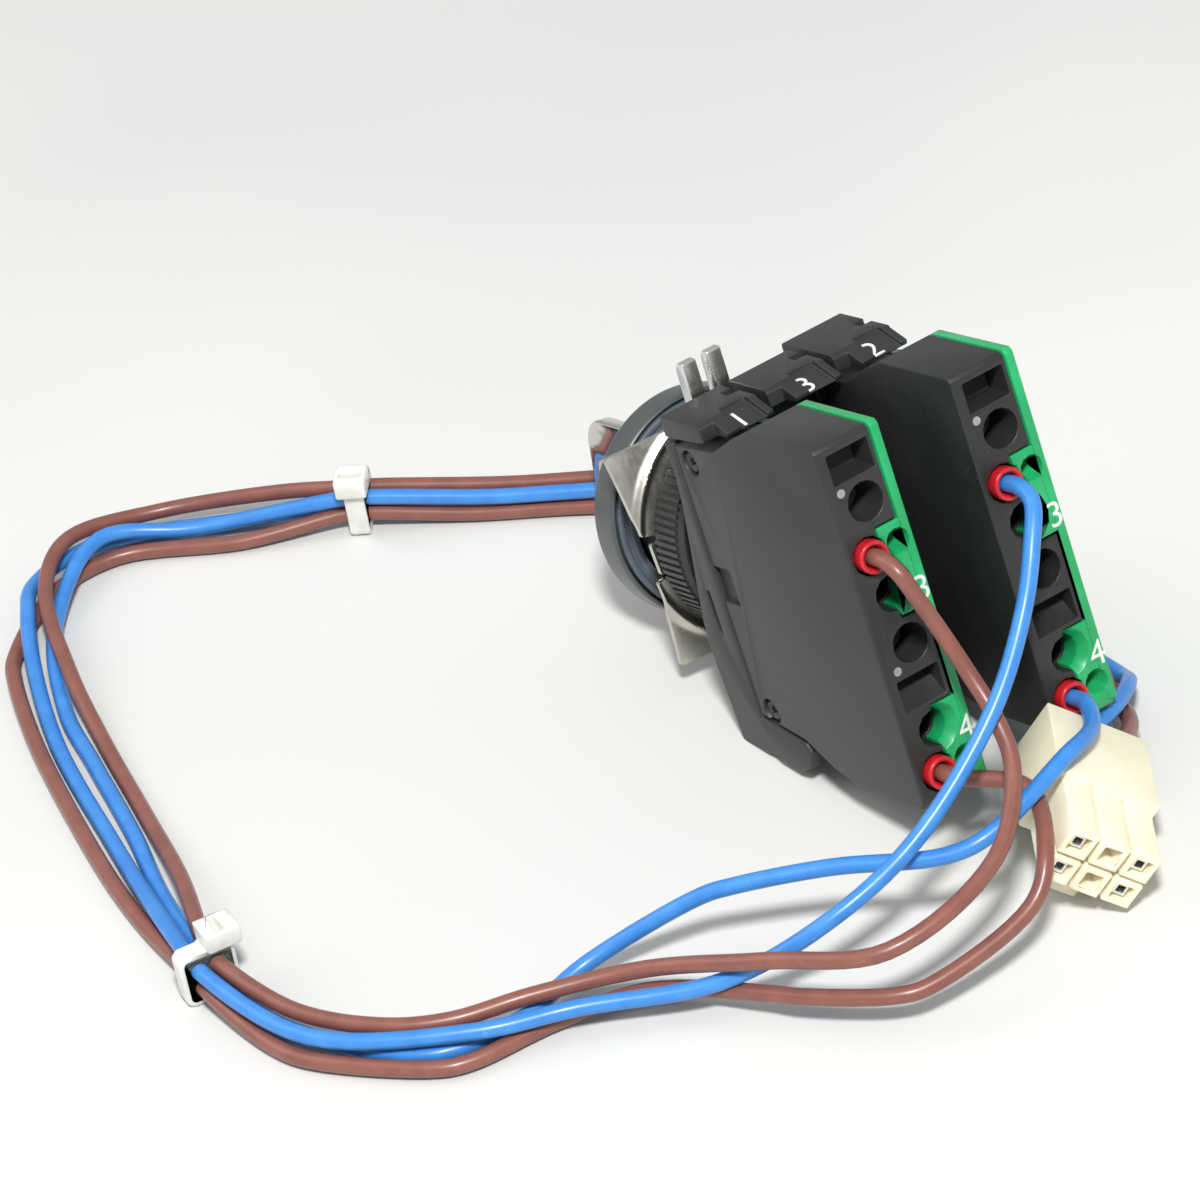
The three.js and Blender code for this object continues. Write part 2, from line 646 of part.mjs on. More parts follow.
function ferrule(y, z) {
  const cup = turned([
    [blockRear - 2.5, 0], [blockRear - 2.5, ferruleRadius - 0.5], [blockRear - 1.2, ferruleRadius],
    [blockRear + ferruleStandOut, ferruleRadius], [blockRear + ferruleStandOut, wireRadius + 0.4],
    [blockRear - 0.6, wireRadius + 0.4], [blockRear - 0.6, 0],
  ], 12);
  const pin = rod(blockRear - 12, blockRear - 2, 0.9, 0, 0, 0.9, 10);
  return cup.add(pin).translate([0, y, z]);
}
for (const [name, [y, z]] of Object.entries(terminals)) {
  node(`ferrule_${name}`, ferrule(y, z), red);
}

// ---------------------------------------------------------------- wiring
// everything here is measured from the point where the lower hooks touch the table
const foot = new THREE.Vector3(hookX, 0, -hookBottom).applyEuler(body.rotation).add(body.position);
const wiring = new THREE.Group();
wiring.position.x = foot.x;
object.add(wiring);

// each wire runs from its ferrule, through the two ties and round the front to the connector
const routes = {
  blue_a: [
    [17.4, 8.5, 41.5], [20.6, 8.5, 42.4], [23.8, 7.8, 42.1], [26.8, 5, 39.3], [29.9, 0.6, 33.8],
    [34.3, -8.6, 26.1], [36.7, -23.5, 16.5], [35.8, -36.4, 11.5], [28.7, -47.5, 5.1], [19, -61.6, 3.8],
    [14.1, -72.7, 4], [0.7, -87.3, 3.9], [-17.4, -91, 5], [-21.4, -90.5, 5], [-30.3, -88.8, 4],
    [-36.1, -87.5, 3.1], [-51.5, -84, 1.5], [-75, -78.6, 1.4], [-91.6, -72.4, 2.2], [-99.7, -68.1, 4],
    [-105.8, -63.8, 3.2], [-110.1, -51.9, 1.4], [-98.7, -32.6, 1.4], [-91, -23.2, 2.5],
    [-88.4, -20.2, 2.5], [-82.1, -13.1, 1.5], [-72.9, -2.6, 1.4], [-59.1, 11.9, 1.4], [-49, 18.1, 1.4],
    [-35.6, 22.1, 1.4], [-17.7, 24.1, 1.4], [-1.7, 24.6, 1.4], [14.3, 24.3, 2.5], [19.2, 21.6, 5.5],
    [24.1, 15.8, 7.8], [26.7, 10.6, 8.9], [27.5, 7.2, 10.4], [28.4, 4.6, 12.4], [29.9, 3.1, 13.1],
    [32.7, 1.3, 13],
  ],
  blue_b: [
    [25.3, 8.5, 13.9], [29, 8.2, 15], [33.9, 5.1, 15.7], [38.2, -2, 17.8], [40.2, -15.4, 14.8],
    [38.1, -20.2, 13.4], [28.8, -30.4, 12.3], [21.5, -39.7, 10.7], [19.2, -42.8, 9.7],
    [12.6, -55.7, 3.3], [13.3, -67.1, 1.4], [10.7, -77.7, 1.4], [-6.3, -87.3, 1.4], [-17, -88.5, 2.5],
    [-21, -88, 2.5], [-37.7, -85, 1.4], [-51.1, -81.2, 1.4], [-68.5, -77.1, 1.4], [-80.2, -74.2, 1.4],
    [-97.5, -65.5, 2], [-107.1, -52.5, 4.2], [-102, -41.1, 2.3], [-89, -24.8, 5], [-86.4, -21.8, 5],
    [-75.8, -9.8, 3.9], [-69.2, -2.3, 3.9], [-61.1, 6.6, 3.9], [-49.9, 14.8, 3.9], [-32.9, 19.8, 3.9],
    [-13, 21.6, 3.9], [-1, 22, 3.9], [3, 21.9, 3.9], [17.9, 17.9, 5], [21.8, 14.5, 5.5], [23.6, 9.2, 7],
    [25.1, 3.9, 9.2], [27.8, 1.4, 9.8], [31.2, -0.8, 9.6],
  ],
  brown_a: [
    [17.4, -11.5, 41.5], [20.4, -11.5, 42.3], [22.8, -11.2, 41.4], [24.4, -10.2, 38],
    [25.8, -8.7, 33.4], [28.8, -7.7, 28.4], [33, -7.7, 24.4], [38, -9.4, 20.6], [44.8, -17.9, 15.6],
    [45.5, -34.6, 12], [34.1, -44.2, 9.5], [21, -52.7, 5.6], [13.6, -64.3, 4.1], [10.1, -73.5, 3.8],
    [5.4, -79.7, 3.8], [-4.3, -85.9, 3.9], [-17, -88.5, 5], [-21, -88, 5], [-36.8, -82.5, 3.5],
    [-54.1, -77.9, 1.4], [-71.6, -73.8, 1.5], [-85, -70.4, 3.3], [-102.5, -63.6, 4.6],
    [-109.7, -55.6, 4.7], [-108.7, -42.6, 2.7], [-98.4, -29.3, 3.9], [-91, -23.2, 5], [-88.4, -20.2, 5],
    [-76.6, -6.7, 4], [-64.6, 6.7, 4], [-53.8, 15.6, 3.9], [-44.8, 19.8, 3.9], [-23.3, 23.8, 3.9],
    [-7.3, 24.7, 3.9], [8.6, 23.7, 3.9], [17.8, 20.2, 3.4], [25, 17.1, 5.1], [32.7, 9.2, 8.2],
    [36.1, 7.1, 8],
  ],
  brown_b: [
    [25.3, -11.5, 13.9], [29.1, -11.3, 15], [36.5, -6.7, 14.9], [45.5, -11.5, 12.8], [48, -15.9, 9.2],
    [47.3, -30.9, 5.6], [45.7, -34.4, 5.3], [37.1, -42.1, 4.6], [33.5, -43.9, 4], [20.5, -52.7, 2],
    [16.7, -63.1, 1.4], [15.4, -74.7, 1.4], [13.6, -78.2, 1.4], [1.6, -88.2, 1.4], [-4, -90.1, 1.4],
    [-17.4, -91, 2.5], [-21.4, -90.5, 2.5], [-33.6, -89.6, 1.4], [-43.5, -88.3, 1.4],
    [-61.1, -84.6, 1.4], [-78.5, -80.1, 1.4], [-91.7, -75.4, 1.4], [-95.3, -73.4, 1.4],
    [-104.7, -61.6, 1.4], [-105.4, -51.3, 1.4], [-95.6, -37.4, 1.4], [-89, -24.8, 2.5],
    [-86.4, -21.8, 2.5], [-77.4, -11.6, 1.4], [-68.2, -1.1, 1.4], [-53.7, 12.6, 1.4], [-43, 17.6, 1.4],
    [-23.3, 21.1, 1.4], [-11.4, 21.7, 1.4], [6.6, 21.6, 1.4], [19.4, 17.1, 1.8], [31.2, 7.2, 4.8],
    [34.6, 5.1, 4.6],
  ],
};
function wire(points) {
  const path = new THREE.CatmullRomCurve3(points.map((p) => new THREE.Vector3(...p)));
  path.arcLengthDivisions = 800;
  const section = new THREE.Shape();
  for (let i = 0; i < wireSides; i++) {
    const a = (2 * Math.PI * (i + 0.5)) / wireSides;
    section[i ? 'lineTo' : 'moveTo'](wireRadius * Math.cos(a), wireRadius * Math.sin(a));
  }
  return new THREE.ExtrudeGeometry(section, { extrudePath: path, steps: wireSteps, bevelEnabled: false });
}
for (const [name, points] of Object.entries(routes)) {
  node(`wire_${name}`, wire(points), name.startsWith('blue') ? blue : brown, wiring);
}

// ---------------------------------------------------------------- cable ties
// a strap round the four wires with its locking head on top; x runs along the bundle
function cableTie(headSide) {
  const inner = 2.75;
  const outer = inner + 0.9;
  const low = wireRadius + 0.05;
  const high = low + 5.45;
  const shape = [
    [-outer + 0.8, 0.05], [outer - 0.8, 0.05], [outer, 0.85], [outer, high + 0.1], [outer - 0.8, high + 0.9],
    [-outer + 0.8, high + 0.9], [-outer, high + 0.1], [-outer, 0.85],
  ];
  const hole = [[-inner, low], [inner, low], [inner, high], [-inner, high]];
  const across = (points, x0, x1) => {
    const outline = new THREE.Shape(points.map(([y, z]) => new THREE.Vector2(y, z)));
    const g = new THREE.ExtrudeGeometry(outline, { depth: x1 - x0, bevelEnabled: false });
    g.applyMatrix4(new THREE.Matrix4().set(0, 0, 1, x0, 1, 0, 0, 0, 0, 1, 0, 0, 0, 0, 0, 1));
    return solid(g);
  };
  const strap = across(shape, -1.35, 1.35).subtract(across(hole, -2, 2));
  const head = box(-2.1, headSide * 2.4 - 2.3, high + 0.5, 2.1, headSide * 2.4 + 2.3, high + 3.2);
  const slot = box(-1.5, headSide * 2.4 - 0.5, high + 1.4, 1.5, headSide * 2.4 + 0.5, high + 4);
  return strap.add(head).subtract(slot);
}
const ties = {
  cable_tie_near: { at: [-19.2, -89.5], heading: 173, head: -1 },
  cable_tie_far: { at: [-88.7, -22.5], heading: 49.5, head: -1 },
};
for (const [name, tie] of Object.entries(ties)) {
  const mesh = node(name, cableTie(tie.head), nylon, wiring);
  mesh.position.set(tie.at[0], tie.at[1], 0);
  mesh.rotation.z = THREE.MathUtils.degToRad(tie.heading);
}

// ---------------------------------------------------------------- plug connector
// x runs towards the mating face, y along the row of three ways, z across the two rows
const ways = [];
for (const column of [-1, 0, 1]) {
  for (const row of [-1, 1]) ways.push({ y: column * wayPitch, z: (row * wayPitch) / 2, used: column !== 0 });
}

function connectorHousing() {
  const halfY = 1.5 * wayPitch + 0.65;
  const halfZ = wayPitch + 0.6;
  const wide = -siloLength;
  let shell = box(-connectorLength, -halfY, -halfZ, wide, halfY, halfZ);
  for (const { y, z } of ways) {
    shell = shell.add(box(wide - 1, y - 1.85, z - 1.85, 0, y + 1.85, z + 1.85));
  }
  // thin webs join the six silos where they leave the wide part
  shell = shell.add(box(wide - 1, -wayPitch, -0.8, wide + 4, wayPitch, 0.8));
  for (const { y, z, used } of ways) {
    if (!used) {
      shell = shell.subtract(box(-3, y - 1.1, z - 1.1, 1, y + 1.1, z + 1.1));
      continue;
    }
    shell = shell.subtract(rod(-connectorLength - 1, -9, 1.45, y, z, 1.45, 12));
    shell = shell.subtract(box(-9.5, y - 1.15, z - 1.15, 1, y + 1.15, z + 1.15));
  }
  // shallow recess behind, where the wires spread out
  shell = shell.subtract(box(-connectorLength - 1, -halfY + 0.6, -halfZ + 0.6, -connectorLength + 3, halfY - 0.6,
    halfZ - 0.6));
  // latch on the lower side
  const arm = profile([
    [-18, -halfZ + 0.5], [-18, -halfZ - 2.6], [-13, -halfZ - 2.6], [-7.5, -halfZ - 2.6], [-5.5, -halfZ - 3.4],
    [-4.6, -halfZ - 3.4], [-4.6, -halfZ - 1.2], [-15, -halfZ - 1.2], [-15, -halfZ + 0.5],
  ], -2, 2);
  return shell.add(arm);
}

function crimpContact(y, z) {
  const barrel = rod(contactEnd, -9.7, 1.1, y, z, 1.1, 8);
  const socket = box(-9.8, y - 0.85, z - 0.85, -0.8, y + 0.85, z + 0.85);
  const mouth = box(-5, y - 0.5, z - 0.5, 0, y + 0.5, z + 0.5);
  return barrel.add(socket).subtract(mouth);
}

const connector = new THREE.Group();
const mating = new THREE.Vector3(0.849, -0.535, -0.049).normalize();
const row = new THREE.Vector3(0.405, 0.698, -0.593);
row.addScaledVector(mating, -row.dot(mating)).normalize();
const across = new THREE.Vector3().crossVectors(mating, row);
connector.matrixAutoUpdate = false;
connector.matrix.makeBasis(mating, row, across).setPosition(47.4, -5.5, 8.0);
wiring.add(connector);
node('connector_housing', connectorHousing(), ivory, connector);
ways.filter((way) => way.used).forEach(({ y, z }, i) => {
  node(`connector_contact_${i + 1}`, crimpContact(y, z), tin, connector);
});

object.updateMatrixWorld(true);
export default object;
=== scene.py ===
import json
from math import cos, pi, radians, sin, sqrt

import bmesh
import bpy
from mathutils import Matrix, Vector


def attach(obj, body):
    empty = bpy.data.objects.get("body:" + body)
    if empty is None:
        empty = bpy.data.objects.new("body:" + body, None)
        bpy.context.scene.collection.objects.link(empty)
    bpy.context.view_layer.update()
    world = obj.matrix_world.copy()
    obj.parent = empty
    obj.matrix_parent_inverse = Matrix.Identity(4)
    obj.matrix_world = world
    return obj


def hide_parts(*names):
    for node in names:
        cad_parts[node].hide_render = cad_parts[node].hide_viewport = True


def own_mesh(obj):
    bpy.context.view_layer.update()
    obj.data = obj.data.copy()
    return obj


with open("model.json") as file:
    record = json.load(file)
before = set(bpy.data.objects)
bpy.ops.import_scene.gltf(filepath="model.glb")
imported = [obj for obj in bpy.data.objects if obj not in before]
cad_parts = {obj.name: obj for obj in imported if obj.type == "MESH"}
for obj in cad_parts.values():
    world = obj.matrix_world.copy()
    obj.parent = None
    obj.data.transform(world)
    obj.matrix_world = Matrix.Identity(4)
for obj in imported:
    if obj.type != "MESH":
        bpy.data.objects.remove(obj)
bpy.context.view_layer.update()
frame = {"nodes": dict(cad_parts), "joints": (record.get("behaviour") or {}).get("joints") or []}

nodes = frame["nodes"]

# the switch leans back on the table: its own x runs rearwards along the key's axis from the panel's
# front face, y from position 1 to position 2, z up, in millimetres, and seat puts that in the part's frame
keyJoint = next(j for j in frame["joints"] if j["name"] == "key_turn")
rearward = Vector(keyJoint["axis"]).normalized()
sideways = Vector((0, 1, 0))
upward = rearward.cross(sideways)
seatTurn = Matrix((rearward, sideways, upward)).transposed().to_4x4()
seat = Matrix.Translation(keyJoint["pos_m"]) @ seatTurn @ Matrix.Scale(0.001, 4)

switch = {
    "bezelRadius": 14.9,
    "bezelDepth": 4.5,
    "bezelCrown": 2.2,
    "lockRadius": 8.2,
    "lockFace": -9.7,
    "cylinderEnd": 11.0,
    "neckRadius": 10.9,
    "blockRear": 57.7,
    "keyLean": 9.0,
}


# where the camera stands, in metres, and the ways that it looks and that its picture runs
cameraView = {
    "spot": (0.47885, -0.29059, 0.41087),
    "forward": (-0.71633, 0.39311, -0.57649),
    "right": (0.56605, 0.81048, -0.1507),
    "lens": 165,
}


def makeCamera(v):
    forward = Vector(v["forward"]).normalized()
    right = Vector(v["right"])
    right = (right - forward * right.dot(forward)).normalized()
    data = bpy.data.cameras.new("camera")
    data.lens, data.sensor_width = v["lens"], 36
    data.clip_start, data.clip_end = 0.01, 20
    camera = bpy.data.objects.new("camera", data)
    camera.matrix_world = Matrix.Translation(v["spot"]) @ Matrix(
        (right, right.cross(forward), -forward)).transposed().to_4x4()
    bpy.context.scene.collection.objects.link(camera)
    bpy.context.scene.camera = camera


makeCamera(cameraView)
print("camera ready")


class Signal:
    # one socket of a material's tree; sums on it add Math nodes
    def __init__(self, tree, socket=None):
        self.tree = tree
        self.socket = socket

    def node(self, kind, settings=None, sockets=None, out=0):
        made = self.tree.nodes.new("ShaderNode" + kind)
        for key, value in (settings or {}).items():
            if key == "stops":
                stops = made.color_ramp.elements
                while len(stops) < len(value):
                    stops.new(1)
                for stop, (position, colour) in zip(stops, value):
                    stop.position, stop.color = position, colour
            else:
                setattr(made, key, value)
        for key, value in (sockets or {}).items():
            if isinstance(value, Signal):
                self.tree.links.new(value.socket, made.inputs[key])
            else:
                made.inputs[key].default_value = value
        return Signal(self.tree, made.outputs[out])

    def math(self, operation, first, second):
        return self.node("Math", {"operation": operation}, {0: first, 1: second})

    def __add__(self, other):
        return self.math("ADD", self, other)

    def __radd__(self, other):
        return self.math("ADD", other, self)

    def __sub__(self, other):
        return self.math("SUBTRACT", self, other)

    def __rsub__(self, other):
        return self.math("SUBTRACT", other, self)

    def __mul__(self, other):
        return self.math("MULTIPLY", self, other)

    def __rmul__(self, other):
        return self.math("MULTIPLY", other, self)

    def between(self, low, high):
        return self.node("MapRange", {"interpolation_type": "SMOOTHSTEP"},
                         {"Value": self, "From Min": low, "From Max": high})

    def noise(self, place, size, detail=3.0, roughness=0.5):
        return self.node("TexNoise", {}, {
            "Vector": place, "Scale": 1 / size, "Detail": detail, "Roughness": roughness})

    def blend(self, factor, first, second):
        return self.node("Mix", {"data_type": "RGBA"}, {0: factor, 6: first, 7: second}, 2)

    def bump(self, height, depth, strength=1.0):
        return self.node("Bump", {}, {"Height": height, "Distance": depth, "Strength": strength})

    def stretched(self, place, scale):
        return self.node("Mapping", {}, {"Vector": place, "Scale": scale})


def tone(red, green, blue):
    # a colour as seen on a screen, turned to the linear values that shaders use
    def linear(c):
        c = c / 255
        return c / 12.92 if c <= 0.04045 else ((c + 0.055) / 1.055) ** 2.4
    return (linear(red), linear(green), linear(blue), 1.0)


def makeFinish(name, paint):
    material = bpy.data.materials.new(name)
    material.use_nodes = True
    tree = material.node_tree
    shader = tree.nodes["Principled BSDF"]
    flow = Signal(tree)
    place = flow.node("TexCoord", out="Object")
    for socket, value in paint(flow, place).items():
        if isinstance(value, Signal):
            tree.links.new(value.socket, shader.inputs[socket])
        else:
            shader.inputs[socket].default_value = value
    return material


def mouldedPlastic(look):
    # moulded plastic: fine grain, a slow drift of shade, and dust specks where asked for
    def paint(flow, place):
        drift = flow.noise(place, look["patch"], 4, 0.6)
        grain = flow.noise(place, look["grain"], 3, 0.6)
        colour = flow.blend(drift.between(0.35, 0.7), look["colour"], look["second"])
        rough = look["rough"] + 0.12 * (drift - 0.5) + 0.1 * (grain - 0.5)
        if look.get("dust"):
            specks = flow.node("TexVoronoi", {}, {"Vector": place, "Scale": 1 / 0.0005, "Randomness": 1.0})
            cloud = flow.noise(place, 0.006, 3, 0.6)
            mask = (1 - specks.between(0.08, 0.18)) * cloud.between(0.48, 0.66) * look["dust"]
            colour = flow.blend(mask, colour, tone(160, 160, 154))
        return {
            "Base Color": colour,
            "Roughness": rough,
            "Normal": flow.bump(grain + 0.6 * drift, look["depth"]),
            "Specular IOR Level": 0.5,
            "Subsurface Weight": look.get("milk", 0.0),
            "Subsurface Radius": (0.002, 0.002, 0.002),
            "Subsurface Scale": look.get("milkDepth", 0.5),
            "Coat Weight": look.get("coat", 0.0),
            "Coat Roughness": 0.25,
        }
    return paint


def sheetMetal(look):
    # drawn metal: fine streaks along one way, with dull patches
    def paint(flow, place):
        streaks = flow.noise(flow.stretched(place, look["streak"]), look["grain"], 4, 0.6)
        patches = flow.noise(place, look["patch"], 4, 0.55)
        colour = flow.blend(patches.between(0.35, 0.7), look["colour"], look["second"])
        return {
            "Base Color": colour,
            "Metallic": 1.0,
            "Roughness": look["rough"] + 0.16 * (streaks - 0.5) + 0.14 * (patches - 0.5),
            "Normal": flow.bump(streaks, look["depth"]),
        }
    return paint


def satinPaint(look):
    # sprayed paint on die-cast metal: faint orange peel under a satin coat
    def paint(flow, place):
        peel = flow.noise(place, look["peel"], 2, 0.4)
        patches = flow.noise(place, look["patch"], 4, 0.6)
        return {
            "Base Color": flow.blend(patches.between(0.3, 0.7), look["colour"], look["second"]),
            "Roughness": look["rough"] + 0.12 * (patches - 0.5),
            "Normal": flow.bump(peel, look["depth"]),
            "Metallic": 0.25,
            "Coat Weight": 0.15,
            "Coat Roughness": 0.3,
        }
    return paint


def wireInsulation(look):
    # drawn insulation: mottling, small rubbed places and a satin surface
    def paint(flow, place):
        mottle = flow.noise(place, 0.004, 4, 0.6)
        fine = flow.noise(place, 0.00035, 3, 0.6)
        rubbed = flow.noise(place, 0.0016, 5, 0.65).between(0.6, 0.75)
        colour = flow.blend(mottle.between(0.3, 0.75), look["colour"], look["second"])
        colour = flow.blend(rubbed * look["rub"], colour, look["rubbed"])
        return {
            "Base Color": colour,
            "Roughness": look["rough"] + 0.1 * (fine - 0.5) + 0.12 * rubbed,
            "Normal": flow.bump(fine + mottle, look["depth"]),
            "Coat Weight": 0.1,
            "Coat Roughness": 0.2,
        }
    return paint


finishes = {
    "black_plastic": makeFinish("blackPlastic", mouldedPlastic({
        "colour": tone(36, 38, 37), "second": tone(45, 47, 45), "patch": 0.012, "grain": 0.00022,
        "depth": 0.00001, "rough": 0.46})),
    # block 2's housing: the black plastic made darker, which is painted shade from block 1 beside it, with
    # real dust specks on top
    "dusty_shaded_plastic": makeFinish("dustyShadedBlackPlastic", mouldedPlastic({
        "colour": tone(30, 31, 30), "second": tone(37, 38, 36), "patch": 0.01, "grain": 0.00022,
        "depth": 0.00001, "rough": 0.5, "dust": 0.3})),
    "green_plastic": makeFinish("greenPlastic", mouldedPlastic({
        "colour": tone(22, 150, 88), "second": tone(34, 170, 102), "patch": 0.009, "grain": 0.0004,
        "depth": 0.000004, "rough": 0.34, "milk": 0.15, "coat": 0.1})),
    "white_plastic": makeFinish("whitePlastic", mouldedPlastic({
        "colour": tone(232, 230, 220), "second": tone(222, 219, 207), "patch": 0.01, "grain": 0.0004,
        "depth": 0.000004, "rough": 0.42, "milk": 0.15})),
    "ivory_plastic": makeFinish("ivoryPlastic", mouldedPlastic({
        "colour": tone(240, 232, 206), "second": tone(232, 222, 192), "patch": 0.006, "grain": 0.0005,
        "depth": 0.000004, "rough": 0.38, "milk": 0.25, "coat": 0.1})),
    "clear_nylon": makeFinish("clearNylon", mouldedPlastic({
        "colour": tone(226, 226, 220), "second": tone(212, 212, 204), "patch": 0.004, "grain": 0.0004,
        "depth": 0.000005, "rough": 0.3, "milk": 0.5, "milkDepth": 1.0, "coat": 0.2})),
    "red_plastic": makeFinish("redPlastic", mouldedPlastic({
        "colour": tone(196, 32, 40), "second": tone(178, 24, 34), "patch": 0.002, "grain": 0.0003,
        "depth": 0.000003, "rough": 0.32, "milk": 0.2, "coat": 0.2})),
    "dulled_print": makeFinish("dulledPrint", mouldedPlastic({
        "colour": tone(150, 150, 146), "second": tone(132, 132, 128), "patch": 0.0012, "grain": 0.0002,
        "depth": 0.000004, "rough": 0.55})),
    "printed_white": makeFinish("printedWhite", mouldedPlastic({
        "colour": tone(226, 226, 220), "second": tone(206, 206, 200), "patch": 0.0012, "grain": 0.0002,
        "depth": 0.000004, "rough": 0.5})),
    "seal": makeFinish("sealRubber", mouldedPlastic({
        "colour": tone(84, 94, 104), "second": tone(74, 83, 92), "patch": 0.006, "grain": 0.0003,
        "depth": 0.000008, "rough": 0.58})),
    "bezel": makeFinish("bezelPaint", satinPaint({
        "colour": tone(72, 76, 76), "second": tone(80, 84, 84), "patch": 0.01, "peel": 0.0007,
        "depth": 0.00001, "rough": 0.36})),
    "plated_steel": makeFinish("platedSteel", sheetMetal({
        "colour": tone(206, 203, 192), "second": tone(184, 182, 172), "patch": 0.006, "grain": 0.0006,
        "streak": (1, 1, 0.06), "depth": 0.000004, "rough": 0.3})),
    "nickel": makeFinish("polishedNickel", sheetMetal({
        "colour": tone(216, 214, 208), "second": tone(204, 202, 196), "patch": 0.008, "grain": 0.0004,
        "streak": (0.1, 1, 1), "depth": 0.0000008, "rough": 0.1})),
    "brass": makeFinish("brassStrip", sheetMetal({
        "colour": tone(214, 184, 116), "second": tone(196, 162, 92), "patch": 0.004, "grain": 0.0004,
        "streak": (0.1, 1, 1), "depth": 0.000003, "rough": 0.28})),
    "spring_steel": makeFinish("springSteel", sheetMetal({
        "colour": tone(200, 202, 204), "second": tone(182, 184, 186), "patch": 0.004, "grain": 0.0003,
        "streak": (0.2, 1, 1), "depth": 0.000002, "rough": 0.24})),
    "tin": makeFinish("tinPlate", sheetMetal({
        "colour": tone(236, 236, 230), "second": tone(222, 222, 216), "patch": 0.003, "grain": 0.0003,
        "streak": (0.3, 1, 1), "depth": 0.000002, "rough": 0.26})),
    "blue_insulation": makeFinish("blueInsulation", wireInsulation({
        "colour": tone(50, 122, 198), "second": tone(62, 136, 210), "rub": 0.25,
        "rubbed": tone(110, 168, 226), "depth": 0.000006, "rough": 0.36})),
    "brown_insulation": makeFinish("brownInsulation", wireInsulation({
        "colour": tone(122, 74, 64), "second": tone(136, 84, 72), "rub": 0.3,
        "rubbed": tone(170, 122, 108), "depth": 0.000006, "rough": 0.36})),
}
print("finishes ready")


def newPiece(name, mesh):
    piece = bpy.data.objects.new(name, mesh)
    bpy.context.scene.collection.objects.link(piece)
    return piece


def soften(mesh, angle):
    for face in mesh.polygons:
        face.use_smooth = True
    mesh.set_sharp_from_angle(angle=radians(angle))


def settle(piece, body, slotName, stands=(), finish=None):
    # gives a finished piece its material, its body and the nodes that it stands for
    piece.data.materials.clear()
    piece.data.materials.append(finishes[finish or slotName])
    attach(piece, body)
    if stands:
        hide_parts(*stands)
    return piece


def baked(piece, angle=35):
    # swaps live modifiers for the plain mesh that they make
    depsgraph = bpy.context.evaluated_depsgraph_get()
    mesh = bpy.data.meshes.new_from_object(piece.evaluated_get(depsgraph))
    piece.modifiers.clear()
    piece.data = mesh
    soften(mesh, angle)
    return piece


def fromBmesh(name, shape, place=seat, angle=35):
    bmesh.ops.remove_doubles(shape, verts=shape.verts, dist=1e-4)
    bmesh.ops.recalc_face_normals(shape, faces=shape.faces)
    shape.transform(place)
    mesh = bpy.data.meshes.new(name)
    shape.to_mesh(mesh)
    shape.free()
    soften(mesh, angle)
    return newPiece(name, mesh)


def rounded(points, radius, steps=4, onAxis=False):
    # eases every corner of a closed outline; onAxis leaves its two ends as they are
    eased = []
    for i, corner in enumerate(points):
        here = Vector(corner)
        if onAxis and i in (0, len(points) - 1):
            eased.append(here)
            continue
        before, after = Vector(points[i - 1]), Vector(points[(i + 1) % len(points)])
        backLength, onLength = (before - here).length, (after - here).length
        start = here + (before - here) * min(radius / backLength, 0.45)
        end = here + (after - here) * min(radius / onLength, 0.45)
        for k in range(steps + 1):
            t = k / steps
            eased.append(start * (1 - t) ** 2 + here * 2 * t * (1 - t) + end * t * t)
    return eased


def turned(name, outline, radius=0.25, segments=120, place=seat, shape=None, y=0.0, z=0.0, steps=4):
    # turns a closed section of (x, radius) points round the x axis
    shape = shape or bmesh.new()
    solidCore = outline[0][1] == 0 and outline[-1][1] == 0
    section = rounded(outline, radius, steps, solidCore)
    rings = []
    for i in range(segments):
        a = 2 * pi * i / segments
        rings.append([shape.verts.new((p[0], y + p[1] * cos(a), z + p[1] * sin(a))) for p in section])
    for i, ring in enumerate(rings):
        nextRing = rings[(i + 1) % segments]
        for k in range(len(section) - solidCore):
            m = (k + 1) % len(section)
            shape.faces.new((ring[k], ring[m], nextRing[m], nextRing[k]))
    return fromBmesh(name, shape, place) if name else shape


def easedCopy(nodeName, width, segments=2, body="switch_body", slotName="black_plastic", finish=None):
    # a CAD node with its sharp edges rounded off
    shape = bmesh.new()
    shape.from_mesh(nodes[nodeName].data)
    bmesh.ops.remove_doubles(shape, verts=shape.verts, dist=0.00002)
    bmesh.ops.dissolve_limit(shape, angle_limit=radians(1.5), verts=shape.verts, edges=shape.edges)
    mesh = bpy.data.meshes.new(nodeName)
    shape.to_mesh(mesh)
    shape.free()
    piece = newPiece(nodeName + "_eased", mesh)
    bevel = piece.modifiers.new("edges", "BEVEL")
    bevel.width, bevel.segments = width, segments
    bevel.limit_method, bevel.angle_limit = "ANGLE", radians(32)
    bevel.use_clamp_overlap = False
    bevel.miter_outer = "MITER_ARC"
    baked(piece, 40)
    return settle(piece, body, slotName, (nodeName,), finish)


# the wires come first, because they cross the table
wiring = {
    "diameter": 0.0021,
    "lengths": {"blue_a": 0.4452, "blue_b": 0.4221, "brown_a": 0.4422, "brown_b": 0.4271},
}
